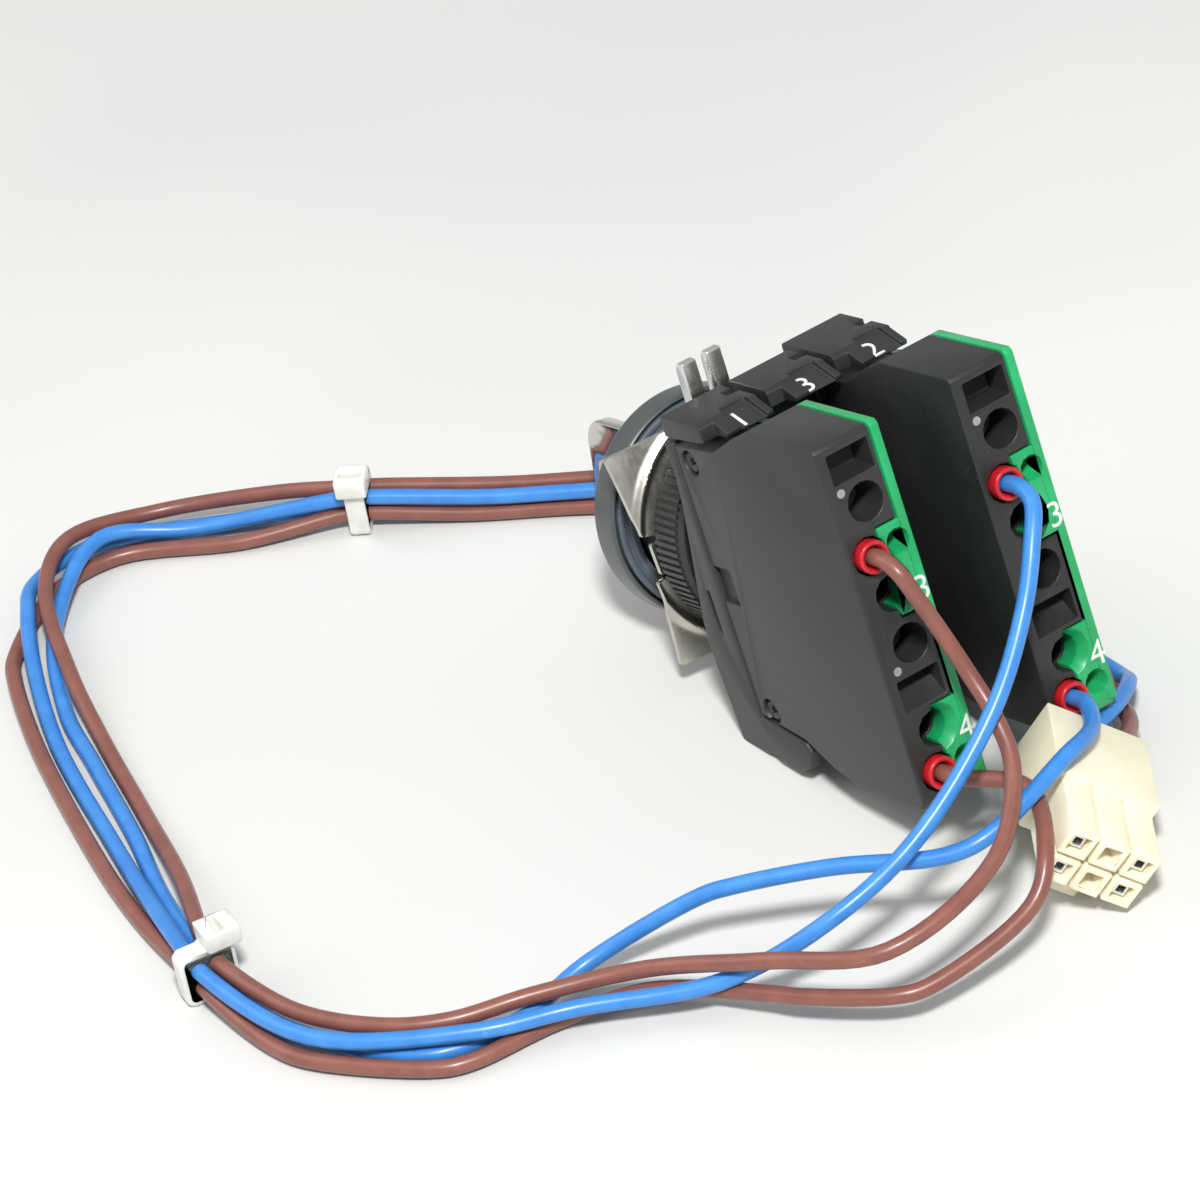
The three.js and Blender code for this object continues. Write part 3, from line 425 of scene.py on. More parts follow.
# the routes run from each ferrule to the connector, in metres from where the lower hooks touch the table
wireFoot = Vector(((seat @ Vector((29.8, 0, -24.65))).x, 0, 0))
wireRoutes = {
    "blue_a": [
        (0.0174, 0.0085, 0.0415), (0.0206, 0.0085, 0.0424), (0.0238, 0.0078, 0.0421),
        (0.0268, 0.005, 0.0393), (0.0299, 0.0006, 0.0338), (0.0343, -0.0086, 0.0261),
        (0.0367, -0.0235, 0.0165), (0.0358, -0.0364, 0.0115), (0.0287, -0.0475, 0.0051),
        (0.019, -0.0616, 0.0038), (0.0141, -0.0727, 0.004), (0.0007, -0.0873, 0.0039),
        (-0.0174, -0.091, 0.005), (-0.0214, -0.0905, 0.005), (-0.0303, -0.0888, 0.004),
        (-0.0361, -0.0875, 0.0031), (-0.0515, -0.084, 0.0015), (-0.075, -0.0786, 0.0014),
        (-0.0916, -0.0724, 0.0022), (-0.0997, -0.0681, 0.004), (-0.1058, -0.0638, 0.0032),
        (-0.1101, -0.0519, 0.0014), (-0.0987, -0.0326, 0.0014), (-0.091, -0.0232, 0.0025),
        (-0.0884, -0.0202, 0.0025), (-0.0821, -0.0131, 0.0015), (-0.0729, -0.0026, 0.0014),
        (-0.0591, 0.0119, 0.0014), (-0.049, 0.0181, 0.0014), (-0.0356, 0.0221, 0.0014),
        (-0.0177, 0.0241, 0.0014), (-0.0017, 0.0246, 0.0014), (0.0143, 0.0243, 0.0025),
        (0.0192, 0.0216, 0.0055), (0.0241, 0.0158, 0.0078), (0.0267, 0.0106, 0.0089),
        (0.0275, 0.0072, 0.0104), (0.0284, 0.0046, 0.0124), (0.0299, 0.0031, 0.0131),
        (0.0327, 0.0013, 0.013),
    ],
    "blue_b": [
        (0.0253, 0.0085, 0.0139), (0.029, 0.0082, 0.015), (0.0339, 0.0051, 0.0157),
        (0.0382, -0.002, 0.0178), (0.0402, -0.0154, 0.0148), (0.0381, -0.0202, 0.0134),
        (0.0288, -0.0304, 0.0123), (0.0215, -0.0397, 0.0107), (0.0192, -0.0428, 0.0097),
        (0.0126, -0.0557, 0.0033), (0.0133, -0.0671, 0.0014), (0.0107, -0.0777, 0.0014),
        (-0.0063, -0.0873, 0.0014), (-0.017, -0.0885, 0.0025), (-0.021, -0.088, 0.0025),
        (-0.0377, -0.085, 0.0014), (-0.0511, -0.0812, 0.0014), (-0.0685, -0.0771, 0.0014),
        (-0.0802, -0.0742, 0.0014), (-0.0975, -0.0655, 0.002), (-0.1071, -0.0525, 0.0042),
        (-0.102, -0.0411, 0.0023), (-0.089, -0.0248, 0.005), (-0.0864, -0.0218, 0.005),
        (-0.0758, -0.0098, 0.0039), (-0.0692, -0.0023, 0.0039), (-0.0611, 0.0066, 0.0039),
        (-0.0499, 0.0148, 0.0039), (-0.0329, 0.0198, 0.0039), (-0.013, 0.0216, 0.0039),
        (-0.001, 0.022, 0.0039), (0.003, 0.0219, 0.0039), (0.0179, 0.0179, 0.005),
        (0.0218, 0.0145, 0.0055), (0.0236, 0.0092, 0.007), (0.0251, 0.0039, 0.0092),
        (0.0278, 0.0014, 0.0098), (0.0312, -0.0008, 0.0096),
    ],
    "brown_a": [
        (0.0174, -0.0115, 0.0415), (0.0204, -0.0115, 0.0423), (0.0228, -0.0112, 0.0414),
        (0.0244, -0.0102, 0.038), (0.0258, -0.0087, 0.0334), (0.0288, -0.0077, 0.0284),
        (0.033, -0.0077, 0.0244), (0.038, -0.0094, 0.0206), (0.0448, -0.0179, 0.0156),
        (0.0455, -0.0346, 0.012), (0.0341, -0.0442, 0.0095), (0.021, -0.0527, 0.0056),
        (0.0136, -0.0643, 0.0041), (0.0101, -0.0735, 0.0038), (0.0054, -0.0797, 0.0038),
        (-0.0043, -0.0859, 0.0039), (-0.017, -0.0885, 0.005), (-0.021, -0.088, 0.005),
        (-0.0368, -0.0825, 0.0035), (-0.0541, -0.0779, 0.0014), (-0.0716, -0.0738, 0.0015),
        (-0.085, -0.0704, 0.0033), (-0.1025, -0.0636, 0.0046), (-0.1097, -0.0556, 0.0047),
        (-0.1087, -0.0426, 0.0027), (-0.0984, -0.0293, 0.0039), (-0.091, -0.0232, 0.005),
        (-0.0884, -0.0202, 0.005), (-0.0766, -0.0067, 0.004), (-0.0646, 0.0067, 0.004),
        (-0.0538, 0.0156, 0.0039), (-0.0448, 0.0198, 0.0039), (-0.0233, 0.0238, 0.0039),
        (-0.0073, 0.0247, 0.0039), (0.0086, 0.0237, 0.0039), (0.0178, 0.0202, 0.0034),
        (0.025, 0.0171, 0.0051), (0.0327, 0.0092, 0.0082), (0.0361, 0.0071, 0.008),
    ],
    "brown_b": [
        (0.0253, -0.0115, 0.0139), (0.0291, -0.0113, 0.015), (0.0365, -0.0067, 0.0149),
        (0.0455, -0.0115, 0.0128), (0.048, -0.0159, 0.0092), (0.0473, -0.0309, 0.0056),
        (0.0457, -0.0344, 0.0053), (0.0371, -0.0421, 0.0046), (0.0335, -0.0439, 0.004),
        (0.0205, -0.0527, 0.002), (0.0167, -0.0631, 0.0014), (0.0154, -0.0747, 0.0014),
        (0.0136, -0.0782, 0.0014), (0.0016, -0.0882, 0.0014), (-0.004, -0.0901, 0.0014),
        (-0.0174, -0.091, 0.0025), (-0.0214, -0.0905, 0.0025), (-0.0336, -0.0896, 0.0014),
        (-0.0435, -0.0883, 0.0014), (-0.0611, -0.0846, 0.0014), (-0.0785, -0.0801, 0.0014),
        (-0.0917, -0.0754, 0.0014), (-0.0953, -0.0734, 0.0014), (-0.1047, -0.0616, 0.0014),
        (-0.1054, -0.0513, 0.0014), (-0.0956, -0.0374, 0.0014), (-0.089, -0.0248, 0.0025),
        (-0.0864, -0.0218, 0.0025), (-0.0774, -0.0116, 0.0014), (-0.0682, -0.0011, 0.0014),
        (-0.0537, 0.0126, 0.0014), (-0.043, 0.0176, 0.0014), (-0.0233, 0.0211, 0.0014),
        (-0.0114, 0.0217, 0.0014), (0.0066, 0.0216, 0.0014), (0.0194, 0.0171, 0.0018),
        (0.0312, 0.0072, 0.0048), (0.0346, 0.0051, 0.0046),
    ],
}


def smoothPath(points, steps=8):
    # a centripetal curve through the route's points
    points = [Vector(p) for p in points]
    path = []
    for i in range(len(points) - 1):
        here, there = points[i], points[i + 1]
        before = points[i - 1] if i else 2 * here - there
        after = points[i + 2] if i + 2 < len(points) else 2 * there - here
        d0, d1, d2 = (sqrt(v.length) for v in (here - before, there - here, after - there))
        leave = ((here - before) / d0 - (there - before) / (d0 + d1) + (there - here) / d1) * d1
        arrive = ((there - here) / d1 - (after - here) / (d1 + d2) + (after - there) / d2) * d1
        for k in range(steps):
            t = k / steps
            path.append(here + leave * t + (3 * (there - here) - 2 * leave - arrive) * t * t
                        + (2 * (here - there) + leave + arrive) * t ** 3)
    return path + [points[-1]]


def makeWire(name, route):
    path = [p + wireFoot for p in smoothPath(route)]
    curve = bpy.data.curves.new(name, "CURVE")
    curve.dimensions = "3D"
    curve.bevel_depth = wiring["diameter"] / 2
    curve.bevel_resolution = 6
    curve.use_fill_caps = True
    spline = curve.splines.new("POLY")
    spline.points.add(len(path) - 1)
    for spot, place in zip(spline.points, path):
        spot.co = (*place, 1)
    spline.use_smooth = True
    piece = newPiece("lead_" + name, curve)
    return settle(piece, "switch_body", name.split("_")[0] + "_insulation", ("wire_" + name,))


leads = {name: makeWire(name, route) for name, route in wireRoutes.items()}
print("wires ready")


def newTree(name, inputs):
    # a tree with named inputs; the last node of every tree is Set Material
    tree = bpy.data.node_groups.new(name, "GeometryNodeTree")
    tree.interface.new_socket("Geometry", in_out="INPUT", socket_type="NodeSocketGeometry")
    for label, kind in inputs:
        tree.interface.new_socket(label, in_out="INPUT", socket_type="NodeSocket" + kind)
    tree.interface.new_socket("Geometry", in_out="OUTPUT", socket_type="NodeSocketGeometry")
    return tree, tree.nodes.new("NodeGroupInput"), tree.nodes.new("NodeGroupOutput")


def joinNodes(tree, start, out, end, into):
    tree.links.new(start.outputs[out], end.inputs[into])


def closeTree(tree, given, result, last, out):
    realize = tree.nodes.new("GeometryNodeRealizeInstances")
    paintIt = tree.nodes.new("GeometryNodeSetMaterial")
    joinNodes(tree, last, out, realize, "Geometry")
    joinNodes(tree, realize, "Geometry", paintIt, "Geometry")
    joinNodes(tree, given, "Material", paintIt, "Material")
    joinNodes(tree, paintIt, "Geometry", result, "Geometry")


def grow(piece, tree, values, place=None, angle=35):
    # runs a tree on a piece and keeps the plain mesh
    modifier = piece.modifiers.new(tree.name, "NODES")
    modifier.node_group = tree
    for item in tree.interface.items_tree:
        if item.in_out == "INPUT" and item.name in values:
            modifier[item.identifier] = values[item.name]
    baked(piece, angle)
    if place:
        piece.data.transform(place)
        piece.data.update()
    return piece


def makeActuator(s):
    depth, crown, radius = s["bezelDepth"], s["bezelCrown"], s["bezelRadius"]
    lip = radius - 2.4
    bezel = turned("bezel_ring", [
        (-1.4, s["neckRadius"] + 0.4), (-1.4, 14.35), (0, 14.35), (0, radius - 0.3), (-0.3, radius),
        (-depth, radius), (-depth - 0.9 * crown, lip), (-depth - crown, lip - 1.2),
        (-depth - crown, s["lockRadius"] + 1.9),
        (-depth + 0.6, s["lockRadius"] + 1.2), (-depth + 0.6, s["neckRadius"] + 0.4)], 0.45)
    settle(bezel, "switch_body", "bezel", ("bezel_collar",))
    seal = turned("seal_ring", [
        (-1.1, 11.5), (-1.1, 14.0), (0, 14.0), (0.2, 13.8), (0.2, 13.3), (0, 13.1), (0, 12.5),
        (0.2, 12.3), (0.2, 11.5)], 0.12)
    settle(seal, "switch_body", "seal", ("front_seal",))
    easedCopy("actuator_body", 0.00018)


ringNut = {
    "front": 9.1,
    "rear": 15.3,
    "rootRadius": 14.15,
    "tipRadius": 14.5,
    "bore": 11.35,
    "ribs": 92,
    "ribWidth": 0.00052,
}


def makeRingNut(n):
    tree, given, result = newTree("nutRibs", [
        ("Ribs", "Int"), ("Rib size", "Vector"), ("Radius", "Float"), ("Material", "Material")])
    ring = tree.nodes.new("GeometryNodeMeshCircle")
    bar = tree.nodes.new("GeometryNodeMeshCube")
    bar.inputs["Vertices X"].default_value = 2
    outward = tree.nodes.new("GeometryNodeInputPosition")
    align = tree.nodes.new("FunctionNodeAlignRotationToVector")
    align.axis, align.pivot_axis = "Y", "Z"
    spread = tree.nodes.new("GeometryNodeInstanceOnPoints")
    together = tree.nodes.new("GeometryNodeJoinGeometry")
    joinNodes(tree, given, "Ribs", ring, "Vertices")
    joinNodes(tree, given, "Radius", ring, "Radius")
    joinNodes(tree, given, "Rib size", bar, "Size")
    joinNodes(tree, outward, "Position", align, "Vector")
    joinNodes(tree, ring, "Mesh", spread, "Points")
    joinNodes(tree, bar, "Mesh", spread, "Instance")
    joinNodes(tree, align, "Rotation", spread, "Rotation")
    joinNodes(tree, spread, "Instances", together, "Geometry")
    joinNodes(tree, given, "Geometry", together, "Geometry")
    closeTree(tree, given, result, together, "Geometry")
    # the tree works round z, so the plain ring is made there and both are turned on to x
    x0, x1, root = n["front"], n["rear"], n["rootRadius"]
    upright = Matrix.Scale(0.001, 4) @ Matrix.Rotation(-pi / 2, 4, "Y")
    nut = turned("ring_nut_ribbed", [
        (x0, n["bore"]), (x0, root - 0.5), (x0 + 0.5, root), (x1 - 0.6, root), (x1, root - 0.6),
        (x1, root - 1.3), (x1 - 0.4, root - 1.5), (x1 - 0.4, n["bore"] + 0.6), (x1, n["bore"] + 0.4),
        (x1, n["bore"])], 0.2, place=upright)
    middle = (x0 + x1) / 2000
    nut.data.transform(Matrix.Translation((0, 0, -middle)))
    grow(nut, tree, {
        "Ribs": n["ribs"], "Radius": (n["tipRadius"] - 0.25) / 1000,
        "Rib size": (n["ribWidth"], 0.0005, (x1 - x0 - 1.2) / 1000),
        "Material": finishes["black_plastic"],
    })
    back = seat @ Matrix.Scale(1000, 4) @ Matrix.Rotation(pi / 2, 4, "Y") @ Matrix.Translation((0, 0, middle))
    nut.data.transform(back)
    settle(nut, "switch_body", "black_plastic", ("ring_nut",))


makeActuator(switch)
makeRingNut(ringNut)
print("actuator ready")


keyShape = {
    "end": -28.6,
    "shoulder": -11.3,
    "half": 7.2,
    "corner": 3.5,
    "thickness": 2.2,
    "edge": 0.3,
    "holeRadius": 1.8,
    "holeFromEnd": 4.2,
    "blade": ((-12.3, -0.75, -3.7), (8.4, 0.75, 3.7)),
}


def addBlock(shape, low, high):
    corners = [shape.verts.new((x, y, z)) for x in (low[0], high[0]) for y in (low[1], high[1])
               for z in (low[2], high[2])]
    for loop in ((0, 1, 3, 2), (4, 6, 7, 5), (0, 4, 5, 1), (2, 3, 7, 6), (0, 2, 6, 4), (1, 5, 7, 3)):
        shape.faces.new([corners[i] for i in loop])


def arc(centreX, centreZ, radius, start, end, steps=10):
    angles = (radians(start + (end - start) * k / steps) for k in range(steps + 1))
    return [(centreX + radius * cos(a), centreZ + radius * sin(a)) for a in angles]


def makeKey(k, place):
    end, half, r = k["end"], k["half"], k["corner"]
    edge = k["edge"]
    outline = [(k["shoulder"], -half + 1.2), (k["shoulder"], half - 1.2), (k["shoulder"] - 1.2, half)]
    outline += arc(end + r, half - r, r, 90, 180) + arc(end + r, -half + r, r, 180, 270)
    outline.append((k["shoulder"] - 1.2, -half))
    hole = arc(end + k["holeFromEnd"], 0, k["holeRadius"] + edge, 360, 11.25, 31)
    centre = Vector(((end + k["shoulder"]) / 2, 0))
    curve = bpy.data.curves.new("bow", "CURVE")
    curve.dimensions, curve.fill_mode = "2D", "BOTH"
    curve.extrude, curve.bevel_depth, curve.bevel_resolution = k["thickness"] / 2 - edge, edge, 3
    for points in (outline, hole):
        spline = curve.splines.new("POLY")
        spline.points.add(len(points) - 1)
        spline.use_cyclic_u = True
        for spot, point in zip(spline.points, points):
            p = Vector(point)
            if points is outline:
                p -= (p - centre).normalized() * edge
            spot.co = (*p, 0, 1)
    flat = newPiece("bow", curve)
    flatMesh = bpy.data.meshes.new_from_object(flat.evaluated_get(bpy.context.evaluated_depsgraph_get()))
    bpy.data.objects.remove(flat)
    shape = bmesh.new()
    shape.from_mesh(flatMesh)
    shape.transform(Matrix.Rotation(pi / 2, 4, "X"))
    bmesh.ops.remove_doubles(shape, verts=shape.verts, dist=0.01)
    addBlock(shape, *k["blade"])
    key = fromBmesh("key_polished", shape, place, 30)
    settle(key, "lock", "nickel", ("key",))


def makeLock(s, place):
    face, r = s["lockFace"], s["lockRadius"]
    barrel = turned("lock_barrel", [
        (face, 0), (face, 3.4), (face + 0.25, 3.7), (face + 0.25, r - 1.6), (face, r - 1.3), (face, r - 0.6),
        (face + 0.6, r), (1.0, r), (1.0, 7.2), (s["cylinderEnd"], 7.2), (s["cylinderEnd"], 3.4),
        (s["cylinderEnd"] + 1.3, 3.4), (s["cylinderEnd"] + 1.3, 0)], 0.15, place=place)
    cutter = bmesh.new()
    addBlock(cutter, (face - 1, -1.1, -4.1), (s["cylinderEnd"] - 2, 1.1, 4.1))
    cutterPiece = fromBmesh("keyway_cutter", cutter, place)
    cut = barrel.modifiers.new("keyway", "BOOLEAN")
    cut.operation, cut.solver, cut.object = "DIFFERENCE", "EXACT", cutterPiece
    baked(barrel)
    bpy.data.objects.remove(cutterPiece)
    settle(barrel, "lock", "nickel", ("lock_cylinder",))


leaningSeat = seat @ Matrix.Rotation(-radians(switch["keyLean"]), 4, "X")
makeKey(keyShape, leaningSeat)
makeLock(switch, leaningSeat)
easedCopy("cam_disc", 0.00012, body="lock", slotName="white_plastic")
print("key and lock ready")


plate = {
    "half": 14.75,
    "thickness": 0.8,
    "ring": 8.0,
    "boreRadius": 11.4,
    "dish": 0.0098,
    "dishFrom": 118.8,
    "turn": 2.1,
    "tabMiddle": 0.8,
    "tabLength": 6.4,
    "tabInset": 0.4,
    "notch": 2.2,
    "bead": (14.7, 16.4),
    "beadHeight": 0.5,
}


def plateOutline(p):
    # a square with a tab between two notches in its left and right edges
    half, inset, notch = p["half"], p["tabInset"], p["notch"]
    low, high = p["tabMiddle"] - p["tabLength"] / 2, p["tabMiddle"] + p["tabLength"] / 2
    tab = [(half, low), (half - notch, low), (half - notch, low + 1), (half - inset, low + 1.05),
           (half - inset, high - 1.05), (half - notch, high - 1), (half - notch, high), (half, high)]
    mirrored = [(-y, z) for y, z in reversed(tab)]
    corners = [(-half, -half), (half, -half), *tab, (half, half), (-half, half), *mirrored]
    return rounded(corners, 0.35, 3)


def finelyCut(outline, step):
    fine = []
    for i, a in enumerate(outline):
        b = outline[(i + 1) % len(outline)]
        pieces = max(1, round((b - a).length / step))
        fine += [a.lerp(b, k / pieces) for k in range(pieces)]
    return fine


def makePlate(p):
    outline = finelyCut(plateOutline(p), 0.5)
    rows = 26
    shape = bmesh.new()
    layers = []
    for lift in (0, p["thickness"]):
        layer = []
        for point in outline:
            inner = point.normalized() * p["boreRadius"]
            column = []
            for k in range(rows + 1):
                spot = inner.lerp(point, k / rows)
                r = spot.length
                beside = abs(spot[1] - p["tabMiddle"]) < p["tabLength"] / 2 - 1
                onTab = beside and abs(spot[0]) > p["boreRadius"]
                x = p["ring"] + lift - p["dish"] * max(0, r * r - p["dishFrom"]) * (0 if onTab else 1)
                across = (r - p["bead"][0]) / (p["bead"][1] - p["bead"][0])
                if 0 < across < 1:
                    x += p["beadHeight"] * sin(pi * across) ** 2
                column.append(shape.verts.new((x, spot[0], spot[1])))
            layer.append(column)
        layers.append(layer)
    count = len(outline)
    for i in range(count):
        j = (i + 1) % count
        front, rear = layers
        for k in range(rows):
            shape.faces.new((front[i][k], front[j][k], front[j][k + 1], front[i][k + 1]))
            shape.faces.new((rear[i][k], rear[i][k + 1], rear[j][k + 1], rear[j][k]))
        for k in (0, rows):
            shape.faces.new((front[i][k], rear[i][k], rear[j][k], front[j][k]))
    piece = fromBmesh("pressure_plate_dished", shape, seat @ Matrix.Rotation(radians(p["turn"]), 4, "X"), 40)
    settle(piece, "switch_body", "plated_steel", ("pressure_plate",))


makePlate(plate)
print("plate ready")


# the holder, the fork and the latches keep their shapes, with eased edges
easedCopy("holder", 0.0002)
easedCopy("locking_fork", 0.00022, 3, slotName="plated_steel", finish="tin")
for number in "132":
    easedCopy("latch_" + number, 0.00016, 3, body="latch_" + number)

blocks = {
    "1": {"middle": -10.0, "housing": "black_plastic"},
    # block 2's housing takes the darker plastic, whose lower base colour paints the shade that block 1 throws
    # on it; its specks are dust
    "2": {"middle": 10.0, "housing": "dusty_shaded_plastic"},
}
rivets = {
    "x": 26.8,
    "z": 17.0,
    "radius": 1.45,
    "length": 8.7,
    "recess": 0.62,
    "lobes": 6,
    "lobeDepth": 0.2,
    "deep": 0.5,
}
returnSprings = {
    "front": 36.1,
    "rear": 48.9,
    "radius": 1.7,
    "wire": 0.28,
    "turns": 8,
    "travel": 3.5,
}


def rivetShape(r):
    # a rivet lying along y with a lobed recess in its near end
    around = 48
    rings = []
    plain = [(r["length"], 0.001), (r["length"], r["radius"]), (0.25, r["radius"]), (0, r["radius"] - 0.25)]
    for depth, radius in plain:
        rings.append([(radius, depth)] * around)
    star = [r["recess"] + r["lobeDepth"] * cos(r["lobes"] * 2 * pi * i / around) for i in range(around)]
    rings.append([(s + 0.12, 0) for s in star])
    rings.append([(s, 0.12) for s in star])
    rings.append([(s * 0.85, r["deep"]) for s in star])
    rings.append([(0.001, r["deep"])] * around)
    shape = bmesh.new()
    made = [[shape.verts.new((radius * cos(2 * pi * i / around), depth, radius * sin(2 * pi * i / around)))
             for i, (radius, depth) in enumerate(ring)] for ring in rings]
    for one, two in zip(made, made[1:]):
        for i in range(around):
            j = (i + 1) % around
            shape.faces.new((one[i], one[j], two[j], two[i]))
    bmesh.ops.remove_doubles(shape, verts=shape.verts, dist=0.002)
    return shape


def rivetTree():
    tree, given, result = newTree("rivetPair", [
        ("Count", "Int"), ("First", "Vector"), ("Step", "Vector"), ("Material", "Material")])
    line = tree.nodes.new("GeometryNodeMeshLine")
    spread = tree.nodes.new("GeometryNodeInstanceOnPoints")
    joinNodes(tree, given, "Count", line, "Count")
    joinNodes(tree, given, "First", line, "Start Location")
    joinNodes(tree, given, "Step", line, "Offset")
    joinNodes(tree, line, "Mesh", spread, "Points")
    joinNodes(tree, given, "Geometry", spread, "Instance")
    closeTree(tree, given, result, spread, "Instances")
    return tree


def springTree():
    tree, given, result = newTree("coil", [
        ("Turns", "Float"), ("Radius", "Float"), ("Wire", "Float"), ("Length", "Float"),
        ("Material", "Material")])
    spiral = tree.nodes.new("GeometryNodeCurveSpiral")
    spiral.inputs["Resolution"].default_value = 24
    section = tree.nodes.new("GeometryNodeCurvePrimitiveCircle")
    section.inputs["Resolution"].default_value = 10
    skin = tree.nodes.new("GeometryNodeCurveToMesh")
    skin.inputs["Fill Caps"].default_value = True
    joinNodes(tree, given, "Turns", spiral, "Rotations")
    joinNodes(tree, given, "Radius", spiral, "Start Radius")
    joinNodes(tree, given, "Radius", spiral, "End Radius")
    joinNodes(tree, given, "Length", spiral, "Height")
    joinNodes(tree, given, "Wire", section, "Radius")
    joinNodes(tree, spiral, "Curve", skin, "Curve")
    joinNodes(tree, section, "Curve", skin, "Profile Curve")
    closeTree(tree, given, result, skin, "Mesh")
    return tree


def springPiece(name, y, tree, s):
    length = (s["rear"] - s["front"] - 2 * s["wire"]) / 1000
    piece = newPiece(name, bpy.data.meshes.new(name))
    onAxis = seat @ Matrix.Translation((s["front"] + s["wire"], y, 0)) @ Matrix.Rotation(pi / 2, 4, "Y")
    grow(piece, tree, {
        "Turns": s["turns"], "Radius": s["radius"] / 1000, "Wire": s["wire"] / 1000, "Length": length,
        "Material": finishes["spring_steel"],
    }, onAxis @ Matrix.Scale(1000, 4))
    return piece


def makeBlock(number, b, r, s, pairTree, coilTree):
    name, middle = "block_" + number, b["middle"]
    easedCopy(name + "_housing", 0.00014, finish=b["housing"])
    easedCopy(name + "_cover", 0.0001, slotName="green_plastic")
    pair = fromBmesh(name + "_rivets", rivetShape(r), Matrix.Scale(0.001, 4))
    first = seat @ Vector((r["x"], middle - r["length"] / 2, -r["z"]))
    step = seatTurn @ Vector((0, 0, 2 * r["z"] / 1000))
    pair.data.transform(seatTurn)
    grow(pair, pairTree, {
        "Count": 2, "First": first, "Step": step, "Material": finishes["black_plastic"]})
    settle(pair, "switch_body", "black_plastic", (name + "_rivet_upper", name + "_rivet_lower"))
    chamberMiddle = middle - 0.2
    spring = springPiece(name + "_return_coil", chamberMiddle, coilTree, s)
    settle(spring, "switch_body", "spring_steel", (name + "_spring",))
    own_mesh(spring)
    carrier = "carrier_" + number
    easedCopy(name + "_plunger", 0.0001, body=carrier, slotName="white_plastic")
    easedCopy(name + "_bridge", 0.00008, body=carrier, slotName="brass")
    easedCopy("pusher_" + number, 0.00012, body="pusher_" + number, slotName="white_plastic")
    for terminal in "34":
        easedCopy(f"{name}_terminal_{terminal}", 0.00008, slotName="brass")
        easedCopy(f"{name}_clamp_{terminal}", 0.00006, slotName="spring_steel")


pairTree, coilTree = rivetTree(), springTree()
for number, block in blocks.items():
    makeBlock(number, block, rivets, returnSprings, pairTree, coilTree)
print("contact blocks ready")


def numeral(name, text, height, middle, reading, top, body):
    # a printed numeral: reading runs along the text and top towards its upper edge
    curve = bpy.data.curves.new(name, "FONT")
    curve.body = text
    curve.align_x, curve.align_y = "CENTER", "CENTER"
    curve.size = height / 0.72
    curve.extrude = 0.03
    curve.offset = -0.012
    text3d = newPiece(name, curve)
    mesh = bpy.data.meshes.new_from_object(text3d.evaluated_get(bpy.context.evaluated_depsgraph_get()))
    bpy.data.objects.remove(text3d)
    across, up = Vector(reading).normalized(), Vector(top).normalized()
    turn = Matrix((across, up, across.cross(up))).transposed().to_4x4()
    mesh.transform(seat @ Matrix.Translation(middle) @ turn)
    settle(newPiece(name, mesh), body, "white_plastic", finish="printed_white")


numeralHeight = 3.3
padSlope = Vector((6, 0, -1.95)).normalized()  # down the latches' pads, towards the rear
latchNumerals = {"1": -9.6, "3": 0.3, "2": 10.4}


def latchSpot(x, y):
    # a point just above the sloping pad, which falls from (30, 22.35) to (36, 20.4)
    return (x, y, 22.35 - (x - 30) * 1.95 / 6 + 0.05)


for number, y in latchNumerals.items():
    numeral("numeral_latch_" + number, number, numeralHeight, latchSpot(32.9, y), (0, 1, 0), -padSlope,
            "latch_" + number)
for number, block in blocks.items():
    for text, z in (("3", 1.9), ("4", -16.8)):
        numeral(f"numeral_block_{number}_{text}", text, numeralHeight, (57.72, block["middle"] + 3.75, z),
                (0, 1, 0), (0, 0, 1), "switch_body")
    shape = None
    for z in (17.4, -6.0):
        coin = [(57.66, 0), (57.66, 0.55), (57.74, 0.55), (57.74, 0)]
        shape = turned(None, coin, 0.02, 24, shape=shape, y=block["middle"] - 2.73, z=z)
    dots = fromBmesh(f"dots_block_{number}", shape)
    settle(dots, "switch_body", "black_plastic", finish="dulled_print")
print("numerals ready")


ferruleSpots = {
    "blue_a": (8.5, 8.7), "blue_b": (8.5, -20.0), "brown_a": (-11.5, 8.7), "brown_b": (-11.5, -20.0),
}


def makeFerrule(name, spot, s):
    x, (y, z) = s["blockRear"], spot
    cup = turned("ferrule_cup_" + name, [
        (x - 2.5, 0), (x - 2.5, 1.5), (x - 1.2, 2.0), (x + 0.9, 2.05), (x + 1.1, 1.95), (x + 1.1, 1.55),
        (x + 0.5, 1.2), (x - 0.6, 1.15), (x - 0.6, 0)], 0.2, 48, y=y, z=z)
    settle(cup, "switch_body", "red_plastic", ("ferrule_" + name,))
    pin = turned("ferrule_pin_" + name, [
        (x - 12, 0), (x - 12, 0.75), (x - 11.6, 0.9), (x - 2.6, 0.9), (x - 2.6, 0)], 0.1, 24, y=y, z=z)
    settle(pin, "switch_body", "tin")
    return [cup, pin]


ferrules = {name: makeFerrule(name, spot, switch) for name, spot in ferruleSpots.items()}
ties = [easedCopy("cable_tie_" + end, 0.00035, 3, slotName="clear_nylon") for end in ("near", "far")]
plug = [easedCopy("connector_housing", 0.00016, slotName="ivory_plastic")]
plug += [easedCopy(f"connector_contact_{i}", 0.00008, slotName="tin") for i in (1, 2, 3, 4)]

for name, lead in leads.items():
    y, z = ferruleSpots[name]
    ferrules[name] + ties + plug
print("ferrules, ties and connector ready")


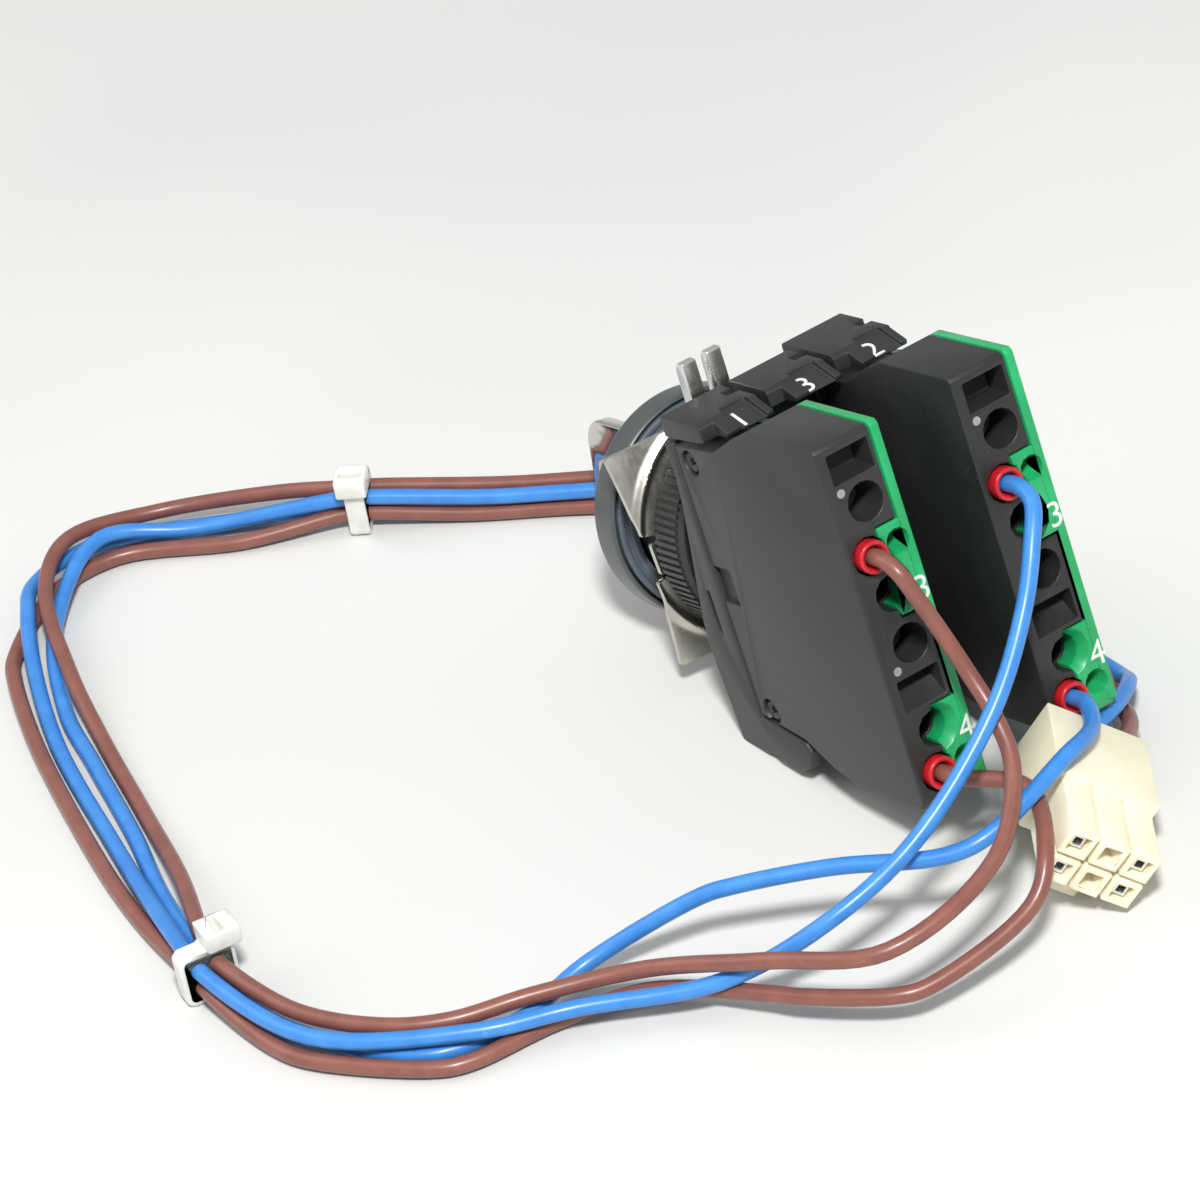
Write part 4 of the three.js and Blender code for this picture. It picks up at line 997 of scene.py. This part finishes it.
studio = {
    "floorSize": 6.0,
    "floorTone": tone(216, 216, 212),
    "floorDrift": tone(208, 208, 205),
    "keyDirection": (0.67, -0.33, 1.0),
    "keyDistance": 0.9,
    "keySize": 0.12,
    "keyPower": 9.0,
    "fillDirection": (-0.6, -0.7, 0.9),
    "fillDistance": 1.2,
    "fillSize": 1.0,
    "fillPower": 4.0,
    "skyStrength": 0.5,
}


def areaLight(name, direction, distance, size, power, target=(0, -0.02, 0.02)):
    data = bpy.data.lights.new(name, "AREA")
    data.shape, data.size, data.energy = "DISK", size, power
    light = bpy.data.objects.new(name, data)
    away = Vector(direction).normalized()
    light.matrix_world = Matrix.Translation(Vector(target) + away * distance) @ \
        away.to_track_quat("Z", "Y").to_matrix().to_4x4()
    bpy.context.scene.collection.objects.link(light)


def makeStudio(s):
    shape = bmesh.new()
    half = s["floorSize"] / 2
    corners = ((-half, -half), (half, -half), (half, half), (-half, half))
    shape.faces.new([shape.verts.new((x, y, 0)) for x, y in corners])
    mesh = bpy.data.meshes.new("floor")
    shape.to_mesh(mesh)
    shape.free()
    floor = newPiece("floor", mesh)

    def paper(flow, place):
        grain = flow.noise(place, 0.0008, 3, 0.6)
        drift = flow.noise(place, 0.15, 2, 0.5)
        return {
            "Base Color": flow.blend(drift.between(0.3, 0.7), s["floorTone"], s["floorDrift"]),
            "Roughness": 0.8 + 0.1 * (grain - 0.5),
            "Normal": flow.bump(grain, 0.00001),
        }
    floor.data.materials.append(makeFinish("paper", paper))
    areaLight("key", s["keyDirection"], s["keyDistance"], s["keySize"], s["keyPower"])
    areaLight("fill", s["fillDirection"], s["fillDistance"], s["fillSize"], s["fillPower"])
    world = bpy.data.worlds.new("studio")
    world.use_nodes = True
    sky = world.node_tree.nodes["Background"]
    sky.inputs["Color"].default_value = (0.96, 0.98, 1.0, 1.0)
    sky.inputs["Strength"].default_value = s["skyStrength"]
    bpy.context.scene.world = world
    bpy.context.scene.view_settings.view_transform = "Standard"


makeStudio(studio)
print("studio ready")
